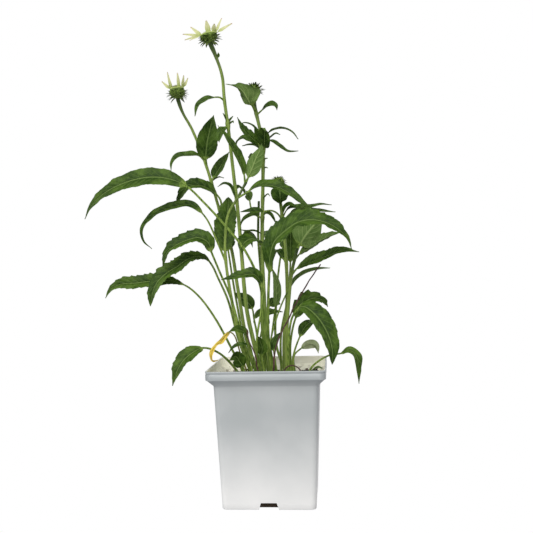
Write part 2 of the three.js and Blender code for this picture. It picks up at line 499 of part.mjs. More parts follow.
/**
 * A round stalk that narrows from foot to top, and may swell to a neck under its head. Its rings may
 * be drawn wider, for a hole round it.
 */
class Stalk {
  constructor({ foot, top, neck = top, route, sides = STEM_SIDES }) {
    Object.assign(this, { foot, top, neck, sides });
    this.route = new Route(route.map(vector));
    this.steps = Math.max(3, Math.round(this.route.length / STALK_STEP));
  }

  radius(share) {
    const swollen = smoothstep(share, 1 - NECK_REACH / this.route.length, 1);
    return lerp(this.foot, this.top, share) + (this.neck - this.top) * swollen;
  }

  rings(wider = 0) {
    const shares = Array.from({ length: this.steps + 1 }, (_, step) => step / this.steps);
    const section = (share) => roundSection(this.radius(share) + wider, this.sides);
    const drawn = shares.map((share) => ring(this.route.frame(share), section(share)));
    return [ring(footFrame(this.route.frame(0)), section(0)), ...drawn];
  }

  solid() {
    return skin(this.rings());
  }
}

/** A leaf: a bare stalk that opens into a folded blade with a rib, a swelling outline and a cut edge. */
class Leaf {
  constructor(shape, root) {
    Object.assign(this, { teeth: 0, wave: 0, twist: 0, swell: OUTLINE_SWELL, taper: OUTLINE_TAPER }, shape);
    this.sunk = root === undefined;
    const points = shape.route.map(vector);
    if (!this.sunk) points.unshift(root);
    this.route = new Route(points, this.face, (1 + this.blade) / 2, this.twist);
    this.stalk = LEAF_STALK.least + LEAF_STALK.share * this.width;
    this.stalkSteps = Math.max(1, Math.round(this.route.length * this.blade / STALK_STEP));
  }

  bladeSteps() {
    const reach = this.route.length * (1 - this.blade);
    if (reach < 2 * BLADE_STEP) return 3;
    return clamp(2 * Math.round(reach / BLADE_STEP / 2), 4, this.teeth > 0 ? 14 : 10);
  }

  /** Shares of the length where rings stand, the blade's with their number along it. */
  stations() {
    const bare = Array.from({ length: this.stalkSteps }, (_, step) =>
      [this.blade * step / this.stalkSteps, 0]);
    const steps = this.bladeSteps();
    const blade = Array.from({ length: steps + 1 }, (_, step) =>
      [this.blade + (1 - this.blade) * step / steps, step]);
    return [...bare, ...blade];
  }

  /** The six corners of the section, left to right above and back below. */
  section(share, step, wider) {
    const down = clamp((share - this.blade) / (1 - this.blade), 0, 1);
    const opened = smoothstep(down, 0, 0.2);
    const round = this.stalk * lerp(1, 0.7, Math.min(share / this.blade, 1)) + wider;
    const peak = this.swell / (this.swell + this.taper);
    const outline = (down / peak) ** this.swell * ((1 - down) / (1 - peak)) ** this.taper;
    const tooth = this.teeth * Math.sin(Math.PI * down) * (step % 2 === 1 ? 1 : -0.5);
    const narrow = lerp(0.87 * round, TIP_HALF_WIDTH, down);
    const half = Math.max(this.width / 2 * outline + tooth, narrow);
    const fold = degToRad(this.fold) * opened;
    const [out, lift] = [half * Math.cos(fold), half * Math.sin(fold)];
    const edge = lerp(round / 2, EDGE_THICKNESS / 2, opened);
    const rib = lerp(round, RIB_THICKNESS / 2, smoothstep(down, 0, 0.6));
    const wave = this.wave * Math.sin(Math.PI * down) * Math.sin(WAVES * 2 * Math.PI * down);
    return [
      [-out, lift + edge + wave], [0, rib], [out, lift + edge - wave],
      [out, lift - edge - wave], [0, -rib], [-out, lift - edge + wave],
    ];
  }

  rings(wider = 0) {
    const drawn = this.stations().map(([share, step]) =>
      ring(this.route.frame(share), this.section(share, step, wider)));
    if (!this.sunk) return drawn;
    return [ring(footFrame(this.route.frame(0)), this.section(0, 0, wider)), ...drawn];
  }

  solid() {
    return skin(this.rings(), (side) => side !== 1 && side !== 4);
  }
}

/** The room that a sunk stalk takes in the soil: its own shape, wider and deeper by the clearance. */
function hole(stalk) {
  const rings = stalk.rings(CLEARANCE);
  rings[0].forEach((point) => point.addScaledVector(UPRIGHT, -CLEARANCE));
  rings.at(-1).forEach((point) => point.addScaledVector(stalk.route.frame(1).along, CLEARANCE));
  return skin(rings);
}

/** A square with round corners, level at a height, with so many steps round each corner. */
function roundSquare(half, radius, height, steps = 4) {
  const corners = [[1, 1], [-1, 1], [-1, -1], [1, -1]];
  return corners.flatMap(([right, back], quarter) =>
    Array.from({ length: steps + 1 }, (_, step) => {
      const angle = (Math.PI / 2) * (quarter + step / steps);
      return vector([
        right * (half - radius) + radius * Math.cos(angle),
        back * (half - radius) + radius * Math.sin(angle),
        height,
      ]);
    }));
}

/** A bar along Y between two depths, from its outline in X and Z. */
function bar(outline, from, to) {
  return skin([from, to].map((depth) => outline.map(([x, z]) => vector([x, depth, z]))));
}

/** Half the pot's outer width where its wall is straight. */
const potHalf = (height) => lerp(FOOT_WIDTH / 2, RIM_WIDTH / 2 - SHOULDER_INSET, height / BODY_TOP);

/** The raised pocket in the pot's floor behind each drainage notch, a margin larger all round. */
function pocket(margin) {
  const [reach, top] = [NOTCH.width / 2 + WALL + margin, NOTCH.height + WALL + margin];
  const front = -FOOT_WIDTH / 2 + WALL / 2;
  const outline = [[-reach, 0], [-reach, top], [reach, top], [reach, 0]];
  return bar(outline, front, -FOOT_WIDTH / 2 + NOTCH.depth + WALL + margin);
}

/** The pot: one thin shell, with a notch and its pocket at the foot of each side. */
function potSolid() {
  const [lip, band, inner] = [RIM_WIDTH / 2, POT_HEIGHT - RIM_BAND, WALL];
  const shoulder = lip - 1;
  const slope = new THREE.Vector2(shoulder - potHalf(BODY_TOP), band - BODY_TOP).normalize();
  const [inward, rise] = [slope.y * inner, slope.x * inner];
  const outside = [
    [FOOT_WIDTH / 2 - 1, 0], [potHalf(1), 1], [potHalf(BODY_TOP), BODY_TOP],
    [shoulder, band], [lip, band + 1], [lip, POT_HEIGHT - 0.6], [lip - 0.6, POT_HEIGHT],
  ];
  const inside = [
    [lip - inner + 0.3, POT_HEIGHT], [lip - inner, POT_HEIGHT - 1], [shoulder - inward, band + rise],
    [potHalf(BODY_TOP) - inward, BODY_TOP + rise], [potHalf(FLOOR) - inner, FLOOR],
  ];
  const corner = (half) => CORNER_RADIUS + (half - lip) * 0.1;
  let pot = skin([...outside, ...inside].map(([half, height]) => roundSquare(half, corner(half), height)));
  const end = NOTCH.depth - FOOT_WIDTH / 2;
  const notch = bar([
    [-NOTCH.below / 2, -1], [-NOTCH.topWidth / 2, NOTCH.height],
    [NOTCH.topWidth / 2, NOTCH.height], [NOTCH.below / 2, -1],
  ], -FOOT_WIDTH / 2 - 2, end);
  const slot = bar([
    [-SLOT.width / 2, SLOT.low], [-SLOT.width / 2, SLOT.high],
    [SLOT.width / 2, SLOT.high], [SLOT.width / 2, SLOT.low],
  ], end - 1, end + 4);
  for (const turn of [0, 90, 180, 270]) {
    pot = pot.add(pocket(0).rotate([0, 0, turn]));
  }
  for (const turn of [0, 90, 180, 270]) {
    pot = pot.subtract(notch.rotate([0, 0, turn])).subtract(slot.rotate([0, 0, turn]));
  }
  return pot;
}

/** The lie of the soil's surface. */
function relief(x, y) {
  const swell = Math.sin(0.13 * x + 0.4) * Math.cos(0.11 * y);
  const ripple = Math.sin(0.31 * x - 0.23 * y + 1);
  return SOIL_RELIEF * (swell + 0.5 * ripple);
}

/** The soil: it fills the pot, and every stalk stands in its own hole. */
function soilSolid(stalks) {
  const inside = (height) => potHalf(height) - WALL - CLEARANCE;
  const rings = [
    roundSquare(inside(FLOOR), SOIL_CORNER, FLOOR + CLEARANCE, 2),
    roundSquare(inside(BODY_TOP), SOIL_CORNER, BODY_TOP, 2),
  ];
  for (const share of [1, 0.75, 0.5, 0.25, 0.02]) {
    const edge = roundSquare(inside(BODY_TOP), SOIL_CORNER, SOIL_TOP, 2);
    rings.push(edge.map(({ x, y, z }) => vector([x * share, y * share, z + relief(x * share, y * share)])));
  }
  let soil = skin(rings);
  for (const turn of [0, 90, 180, 270]) soil = soil.subtract(pocket(CLEARANCE).rotate([0, 0, turn]));
  for (const stalk of stalks) soil = soil.subtract(hole(stalk));
  return soil;
}

/** A bract or petal that grows outward from a head's axis, turns from rise to fall, and rolls. */
function ray(shape, { thickness, profile, keeled }) {
  const { azimuth, radius, height, length, width, rise, fall, roll = 0 } = shape;
  const outward = new THREE.Vector3(1, 0, 0).applyAxisAngle(UPRIGHT, degToRad(azimuth));
  const place = new THREE.Vector3(0, 0, height).addScaledVector(outward, radius);
  const heading = (share) => {
    const angle = degToRad(lerp(rise, fall, share));
    return outward.clone().multiplyScalar(Math.cos(angle)).addScaledVector(UPRIGHT, Math.sin(angle));
  };
  const rings = profile.map(([share, breadth], index) => {
    const before = index === 0 ? 0 : profile[index - 1][0];
    place.addScaledVector(heading((share + before) / 2), (share - before) * length);
    const along = heading(share);
    const up = outward.clone().cross(UPRIGHT).cross(along).negate().normalize();
    up.applyAxisAngle(along, degToRad(roll) * smoothstep(share, 0, ROLLED));
    const [half, thick] = [width / 2 * breadth, thickness / 2];
    const corners = keeled
      ? [[-half, thick], [half, thick], [0, -thick]]
      : [[-half, thick], [half, thick], [half, -thick], [-half, -thick]];
    return ring({ centre: place.clone(), along, up }, corners);
  });
  return skin(rings);
}

/** A level ring of points round a head's axis. */
const level = (radius, height, sides = HEAD_SIDES) =>
  Array.from({ length: sides }, (_, corner) => {
    const angle = (2 * Math.PI * corner) / sides;
    return vector([radius * Math.cos(angle), radius * Math.sin(angle), height]);
  });

/** The green head: a turned body with its rows of bracts sunk into it. */
function headSolid({ body, bracts }) {
  let head = skin(body.map(([radius, height]) => level(radius, height)));
  bracts.forEach(({ count, radius, ...bract }, row) => {
    for (let number = 0; number < count; number += 1) {
      const azimuth = (360 / count) * (number + row / 2);
      head = head.add(ray({ ...bract, azimuth, radius: radius - BRACT_SUNK }, BRACT));
    }
  });
  return head;
}

/** The petals of a bloom with the collar that they grow from. */
function petalsSolid({ discRadius, bend, petals }, [rimRadius, rimHeight]) {
  const [low, high] = [rimHeight + CLEARANCE, rimHeight + CLEARANCE + COLLAR_THICKNESS];
  let solid = skin([level(rimRadius, low), level(rimRadius, high)])
    .subtract(skin([level(discRadius + CLEARANCE, low - 1), level(discRadius + CLEARANCE, high + 1)]));
  for (const [azimuth, length, width, rise, roll] of petals) {
    const root = { azimuth, radius: rimRadius - 1.3, height: (low + high) / 2 };
    solid = solid.add(ray({ ...root, length, width, rise, fall: rise - bend, roll }, PETAL));
  }
  return solid;
}

/** The disc of a bloom: a dome whose florets stand up from it by turns. */
function discSolid({ discRadius, discHeight }, rimHeight) {
  const [base, rim] = [rimHeight + CLEARANCE, rimHeight + CLEARANCE + COLLAR_THICKNESS];
  const rings = [level(discRadius, base), level(discRadius, rim)];
  for (const [row, angle] of [15, 35, 55, 75].entries()) {
    const [out, rise] = [discRadius * Math.cos(degToRad(angle)), discHeight * Math.sin(degToRad(angle))];
    rings.push(level(out, rim + rise).map((point, place) => {
      const floret = (row + place) % 2 === 0 ? DISC_FLORET : 0;
      return point.add(vector([point.x / out, point.y / out, 1]).normalize().multiplyScalar(floret));
    }));
  }
  return skin(rings);
}

/** A group that stands a head on the top of its stem, leaning its own way. */
function onStem(stalk, lean) {
  const group = new THREE.Group();
  const axis = vector(lean).normalize();
  group.position.copy(stalk.route.frame(1).centre).addScaledVector(axis, HEAD_GAP);
  group.quaternion.setFromUnitVectors(UPRIGHT, axis);
  return group;
}

const plant = new THREE.Group();
const stalks = {};
const sunk = [];

for (const [name, stem] of Object.entries(STEMS)) {
  const stalk = new Stalk(stem);
  stalks[name] = stalk;
  sunk.push(stalk);
  let solid = stalk.solid();
  for (const shape of stem.leaves) {
    const root = stalk.route.atHeight(shape.from);
    solid = solid.add(new Leaf(shape, root).solid());
  }
  plant.add(piece(name, solid, "stem"));
}

for (const [leaves, finish] of [[BASAL_LEAVES, "leaf"], [WITHERED_LEAVES, "withered"]]) {
  for (const [name, shape] of Object.entries(leaves)) {
    const leaf = new Leaf(shape);
    sunk.push(leaf);
    plant.add(piece(name, leaf.solid(), finish));
  }
}

for (const [name, shape] of Object.entries(DRY_STALKS)) {
  const stalk = new Stalk({ ...shape, sides: 5 });
  sunk.push(stalk);
  plant.add(piece(name, stalk.solid(), "dry"));
}

const perches = {};
for (const [name, head] of Object.entries(HEADS)) {
  perches[name] = onStem(stalks[head.stem], head.lean);
  perches[name].add(piece(name, headSolid(head), "bract"));
  plant.add(perches[name]);
}

for (const [name, bloom] of Object.entries(BLOOMS)) {
  const rim = HEADS[bloom.head].body.at(-1);
  perches[bloom.head].add(piece(`petals_${name}`, petalsSolid(bloom, rim), "petal"));
  perches[bloom.head].add(piece(`disc_${name}`, discSolid(bloom, rim[1]), "disc"));
}

plant.add(piece("potting_soil", soilSolid(sunk), "soil"));
plant.add(piece("pot", potSolid(), "white_plastic"));

export default plant;
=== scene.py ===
"""A purple coneflower in a square nursery pot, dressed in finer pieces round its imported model.

Sizes are millimetres until a mesh is made, and then metres. The origin is the middle of the pot's
underside, +Z is up and the pot's front faces -Y.
"""
import logging
import math
from dataclasses import dataclass, fields, replace
from enum import Enum

import bpy
import numpy as np
from mathutils import Matrix


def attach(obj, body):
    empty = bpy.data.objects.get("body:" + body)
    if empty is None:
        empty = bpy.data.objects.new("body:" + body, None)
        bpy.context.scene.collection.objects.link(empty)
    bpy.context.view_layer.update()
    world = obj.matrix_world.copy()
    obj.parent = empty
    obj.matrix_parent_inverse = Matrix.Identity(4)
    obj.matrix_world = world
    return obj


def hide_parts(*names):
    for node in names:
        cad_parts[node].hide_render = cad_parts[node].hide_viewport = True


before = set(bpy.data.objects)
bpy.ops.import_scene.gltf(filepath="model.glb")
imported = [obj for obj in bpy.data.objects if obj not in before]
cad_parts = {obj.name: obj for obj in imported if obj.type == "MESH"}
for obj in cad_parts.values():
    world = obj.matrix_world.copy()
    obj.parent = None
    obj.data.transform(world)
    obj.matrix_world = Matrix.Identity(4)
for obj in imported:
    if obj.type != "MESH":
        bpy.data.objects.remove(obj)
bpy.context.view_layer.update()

Array = np.ndarray
Point = tuple[float, float, float]
Colour = tuple[float, float, float]
Material = bpy.types.Material
Socket = bpy.types.NodeSocket
Draws = np.random.Generator

LOG = logging.getLogger("coneflower")
MM = 0.001
UPRIGHT = np.array([0.0, 0.0, 1.0])
SEED = 71
SMOOTH_BELOW = math.radians(50)

# The pot and its soil
RIM_WIDTH = 152.0
POT_HEIGHT = 178.0
FOOT_WIDTH = 120.0
WALL = 1.8
RIM_BAND = 12.0
SHOULDER_DROP = 8.0
SHOULDER_INSET = 9.0
BODY_TOP = POT_HEIGHT - RIM_BAND - SHOULDER_DROP
CORNER_RADIUS = 9.0
FLOOR = 2.5
SOIL_TOP = 158.0
SOIL_RELIEF = 1.6
SUNK = 14.0
SIDE_STEPS = 5
LUMP_LAYERS = 26
CLEARANCE = 0.35

# Stalks and leaves
FRAME_STEPS = 48
STALK_STEP = 4.0
NECK_REACH = 24.0
ROLLED = 0.35
STEM_SIDES = 20
BLADE_STEP = 1.7
FEWEST_STEPS = 14
MOST_STEPS = 110
BLADE_COLUMNS = 17
SMALL_COLUMNS = 11
SMALL_WIDTH = 12.0
TIP_HALF_WIDTH = 0.4
OUTLINE_SWELL = 0.65
OUTLINE_TAPER = 1.1
WAVES = 2.5
STALK_LEAST = 1.0
STALK_SHARE = 0.034
BLADE_HALF_THICKNESS = 0.26
RIB_DEPTH = 0.55
TOOTH_PITCH = 9.0
TOOTH_RISE = 1.5
VEIN_PITCH = 9.0
VEIN_SLOPE = 1.9
VEIN_CURVE = 0.85
QUILT_DEPTH = 0.42
EDGE_RIPPLE = 0.012
EDGE_FLUTTER = 0.035
NODE_SWELLING = 0.14
NODE_REACH = 4.0
HAIR_RADIUS = 0.09

# Heads
HEAD_GAP = 0.4
WIDER = 1.25
COLLAR_THICKNESS = 1.3
PETAL_SPREAD = 1.15
# How far down a stalk the painted shade under its head reaches.
NECK_SHADE = 60.0
BUD_HAIRS = 110
FLORETS = 110

# Where the random draws of each kind of piece start, and how many numbers each stem has to itself
STEM_SEEDS = 100
LEAF_SEEDS = 1000
WITHERED_SEEDS = 1100
DRY_SEEDS = 1200
HEAD_SEEDS = 1300
PETAL_SEEDS = 1400
DISC_SEEDS = 1500
LUMP_SEED = 5


def unit(vectors: Array) -> Array:
    """Vectors of length one along the last axis."""
    return vectors / np.linalg.norm(vectors, axis=-1, keepdims=True)


def smoothstep(value: Array, low: float, high: float) -> Array:
    """Zero below low, one above high, and 3t^2 - 2t^3 between."""
    share = np.clip((value - low) / (high - low), 0, 1)
    return share * share * (3 - 2 * share)


def lerp(start: Array, end: Array, share: Array) -> Array:
    """The value that lies a share of the way from start to end."""
    return start + (end - start) * share


def curve_through(points: Array, per_span: int = 32) -> Array:
    """A smooth curve through points.

    Each span is the cubic whose end slopes come from its neighbours, with each gap measured as the
    square root of its length, so that it doesn't loop at a close pair.

    Args:
        points: The points to pass, one a row.
        per_span: How many points each span gets.

    Returns:
        The curve's points, one a row.
    """
    ends = np.vstack([2 * points[0] - points[1], points, 2 * points[-1] - points[-2]])
    gaps = np.sqrt(np.linalg.norm(np.diff(ends, axis=0), axis=1))[:, None]
    before, here, there, after = ends[:-3], ends[1:-2], ends[2:-1], ends[3:]
    first, middle, last = gaps[:-2], gaps[1:-1], gaps[2:]
    slope = (there - here) / middle
    leave = middle * ((here - before) / first - (there - before) / (first + middle) + slope)
    arrive = middle * (slope - (after - here) / (middle + last) + (after - there) / last)
    share = np.linspace(0, 1, per_span, endpoint=False)[None, :, None]
    here, there, leave, arrive = (part[:, None] for part in (here, there, leave, arrive))
    spans = (here + leave * share + (3 * (there - here) - 2 * leave - arrive) * share ** 2
             + (2 * (here - there) + leave + arrive) * share ** 3)
    return np.vstack([spans.reshape(-1, points.shape[1]), points[-1:]])


@dataclass(frozen=True)
class Frames:
    """Places along a route: a centre, the way along, and an up square to it, one a row each."""

    centre: Array
    along: Array
    up: Array

    @property
    def side(self) -> Array:
        """The way to the right of a walker whose head is up."""
        return np.cross(self.along, self.up)

    def place(self, right: Array, rise: Array) -> Array:
        """Points of a section in each frame.

        Args:
            right: How far each point lies along the side, a row for each frame.
            rise: How far it lies along the up.

        Returns:
            The points, as frames by corners by three.
        """
        return (self.centre[:, None] + self.side[:, None] * right[..., None]
                + self.up[:, None] * rise[..., None])

    def with_foot(self) -> "Frames":
        """Puts one more frame below them, sunk upright in the soil.

        Returns:
            The frames, that one first.
        """
        foot = self.centre[0] - UPRIGHT * SUNK
        level = unit(self.up[0] - UPRIGHT * self.up[0, 2])
        return Frames(np.vstack([foot, self.centre]), np.vstack([UPRIGHT, self.along]),
                      np.vstack([level, self.up]))


class Route:
    """A smooth route through given points, with an up that doesn't turn round it."""

    def __init__(self, points: Array, facing: Point = (0, -1, 0.01), at: float = 0.0,
                 twist: float = 0.0) -> None:
        """Measures the route, and carries the facing along it.

        Args:
            points: The points to pass, one a row.
            facing: The way that the up looks at one share of the length.
            at: That share.
            twist: How far the up turns about the route from end to end, in degrees.
        """
        self.dense = curve_through(np.asarray(points, float))
        run = np.concatenate([[0], np.cumsum(np.linalg.norm(np.diff(self.dense, axis=0), axis=1))])
        self.length = float(run[-1])
        self.shares = run / self.length
        self.slope = np.gradient(self.dense, self.shares, axis=0)
        along = unit(self._read(self.slope, np.linspace(0, 1, FRAME_STEPS + 1)))
        start = round(at * FRAME_STEPS)
        ups = np.zeros_like(along)
        ups[start] = self._square(np.array(facing, float), along[start])
        for step in range(start + 1, FRAME_STEPS + 1):
            ups[step] = self._square(ups[step - 1], along[step])
        for step in range(start - 1, -1, -1):
            ups[step] = self._square(ups[step + 1], along[step])
        turn = np.radians(twist) * (np.linspace(0, 1, FRAME_STEPS + 1) - at)[:, None]
        self.ups = ups * np.cos(turn) + np.cross(along, ups) * np.sin(turn)

    @staticmethod
    def _square(up: Array, along: Array) -> Array:
        """The part of up that is square to along, at length one."""
        return unit(up - along * np.sum(up * along, axis=-1, keepdims=True))

    def _read(self, values: Array, shares: Array) -> Array:
        """Values along the dense curve, read at shares of its length."""
        return np.stack([np.interp(shares, self.shares, column) for column in values.T], axis=-1)

    def frames(self, shares: Array) -> Frames:
        """Frames along the route.

        Args:
            shares: Where they stand, as shares of the length.

        Returns:
            The frames.
        """
        along = unit(self._read(self.slope, shares))
        steps = np.linspace(0, 1, FRAME_STEPS + 1)
        up = np.stack([np.interp(shares, steps, column) for column in self.ups.T], axis=-1)
        return Frames(self._read(self.dense, shares), along, self._square(up, along))

    def at_height(self, height: float) -> Array:
        """The point where a rising route passes a height."""
        return np.array([np.interp(height, self.dense[:, 2], column) for column in self.dense.T])


class Coat(Enum):
    """What a face is finished as."""

    LEAF_TOP = 0
    LEAF_UNDER = 1
    STEM = 2
    CUT = 3
    BRACT = 4
    PETAL = 5
    DISC = 6
    SOIL = 7
    BARK = 8
    PERLITE = 9
    DRY = 10
    WITHERED = 11
    PLASTIC = 12
    HAIR = 13
    BODY = 14
    TUFT = 15
    LEAF_PALE = 16


@dataclass(frozen=True)
class Surface:
    """A shape's vertices and faces, with what its finish reads from them.

    Attributes:
        points: The vertices, one a row, in millimetres.
        quads: The four-cornered faces, as rows of vertex numbers.
        triangles: The three-cornered faces.
        uv: Two texture coordinates for each vertex.
        opened: How far each vertex lies in what the finish changes to, from 0 to 1.
        tone: How light each vertex's piece is, from 0 to 1.
        quad_coats: The coat of each four-cornered face, as a number.
        triangle_coats: The coat of each three-cornered face.
    """

    points: Array
    quads: Array
    triangles: Array
    uv: Array
    opened: Array
    tone: Array
    quad_coats: Array
    triangle_coats: Array

    @staticmethod
    def joined(parts: list["Surface"]) -> "Surface":
        """Joins surfaces.

        Args:
            parts: The surfaces.

        Returns:
            One surface that holds them all.
        """
        starts = np.cumsum([0] + [len(part.points) for part in parts[:-1]])
        moved = [replace(part, quads=part.quads + start, triangles=part.triangles + start)
                 for part, start in zip(parts, starts)]
        return Surface(*(np.concatenate([getattr(part, field.name) for part in moved])
                         for field in fields(Surface)))

    def turned(self, turn: Array, place: Array) -> "Surface":
        """The surface, turned and then moved."""
        return replace(self, points=self.points @ turn.T + place)


def with_caps(values: Array) -> Array:
    """Adds the values of two cap points, which are the means of the first ring and of the last.

    Args:
        values: Tubes by rings by corners by any number.

    Returns:
        Tubes by points by that number.
    """
    tubes, rings, corners, number = values.shape
    caps = values[:, [0, -1]].mean(axis=2)
    return np.concatenate([values.reshape(tubes, rings * corners, number), caps], axis=1)


def closed_tubes(points: Array, coats: Array, uv: Array | None = None, opened: Array | float = 0.0,
                 tone: Array | float = 0.5) -> Surface:
    """Closes grids of rings into tubes with pointed caps, faces outward.

    Ring after ring, each corner joins its neighbour and the two above, and each end is a fan from the
    middle of its ring.

    Args:
        points: Tubes by rings by corners by three.
        coats: The coat of each corner's column.
        uv: Two values for each point, or none.
        opened: A value for each point, or one for all.
        tone: A value for each tube, or one for all.

    Returns:
        The tubes as one surface.
    """
    tubes, rings, corners, _ = points.shape
    shape = (tubes, rings, corners)
    uv = np.zeros((*shape, 2)) if uv is None else np.broadcast_to(uv, (*shape, 2))
    opened = np.broadcast_to(opened, shape)
    tone = np.broadcast_to(np.reshape(tone, (-1, 1)), (tubes, rings * corners + 2))
    ring, corner = np.meshgrid(np.arange(rings - 1), np.arange(corners), indexing="ij")
    beside = (corner + 1) % corners
    quads = np.stack([ring * corners + corner, ring * corners + beside,
                      (ring + 1) * corners + beside, (ring + 1) * corners + corner], axis=-1).reshape(-1, 4)
    turn = np.arange(corners)
    beside = (turn + 1) % corners
    first, last = rings * corners, rings * corners + 1
    top = (rings - 1) * corners
    fans = np.concatenate([
        np.stack([np.full(corners, first), beside, turn], axis=-1),
        np.stack([np.full(corners, last), top + turn, top + beside], axis=-1)])
    starts = (np.arange(tubes) * (rings * corners + 2))[:, None, None]
    return Surface(
        with_caps(points).reshape(-1, 3),
        (quads[None] + starts).reshape(-1, 4),
        (fans[None] + starts).reshape(-1, 3),
        with_caps(uv).reshape(-1, 2),
        with_caps(opened[..., None]).reshape(-1),
        tone.reshape(-1),
        np.tile(np.tile(coats, rings - 1), tubes),
        np.tile(np.tile(coats, 2), tubes))


def spikes(base: Array, direction: Array, length: Array, radius: float, coat: Coat, sides: int = 3,
           tone: float = 0.5) -> Surface:
    """Thin cones that stand on points.

    Each has a small round base, sunk a little, and one tip a length away along its direction.

    Args:
        base: Where each stands.
        direction: The way each points, at length one.
        length: How long each is.
        radius: How thick they are at the base.
        coat: What they are finished as.
        sides: How many sides each has.
        tone: How light they are.

    Returns:
        The cones as one surface.
    """
    count = len(base)
    helper = np.where(np.abs(direction[:, 2:]) > 0.8, [[1.0, 0, 0]], [[0, 0, 1.0]])
    across = unit(np.cross(direction, helper))
    other = np.cross(direction, across)
    angle = np.linspace(0, 2 * np.pi, sides, endpoint=False)
    spread = across[:, None] * np.cos(angle)[:, None] + other[:, None] * np.sin(angle)[:, None]
    ring = base[:, None] - direction[:, None] * radius + spread * radius
    tip = base + direction * np.reshape(length, (-1, 1))
    points = np.concatenate([ring, tip[:, None]], axis=1).reshape(-1, 3)
    turn = np.arange(sides)
    walls = np.stack([turn, (turn + 1) % sides, np.full(sides, sides)], axis=-1)
    floor = np.stack([np.zeros(sides - 2, int), turn[2:], turn[1:-1]], axis=-1)
    faces = np.concatenate([walls, floor])
    starts = (np.arange(count) * (sides + 1))[:, None, None]
    triangles = (faces[None] + starts).reshape(-1, 3)
    values = len(points)
    return Surface(points, np.zeros((0, 4), int), triangles, np.zeros((values, 2)), np.zeros(values),
                   np.full(values, tone), np.zeros(0, int), np.full(len(triangles), coat.value))


def ripple(place: Array, rng: Draws, pitch: float, layers: int = 4) -> Array:
    """A gentle random wave of height about one: a sum of sines of nearby pitches and random phase.

    Args:
        place: How far along the wave each value is.
        rng: Where the pitches and phases are drawn from.
        pitch: The wave's usual length.
        layers: How many sines there are.

    Returns:
        The wave's height at each place.
    """
    total = np.zeros_like(place)
    for _ in range(layers):
        length = pitch * rng.uniform(0.6, 1.6)
        total = total + np.sin(2 * np.pi * place / length + rng.uniform(0, 2 * np.pi))
    return total / math.sqrt(layers)


@dataclass(frozen=True)
class Blade:
    """Where the points of a leaf's blade lie, a row for each station and a column for each line.

    Attributes:
        down: The share of the blade from its foot.
        across: From -1 at one edge to 1 at the other.
        run: How far down the blade.
    """

    down: Array
    across: Array
    run: Array

    @property
    def out(self) -> Array:
        """How far each line lies from the rib, as a share of the half, with more lines near the rib."""
        return self.across * (0.45 + 0.55 * np.abs(self.across))

    @property
    def swell(self) -> Array:
        """Zero at the foot and the tip, and one half-way."""
        return np.sin(np.pi * self.down)


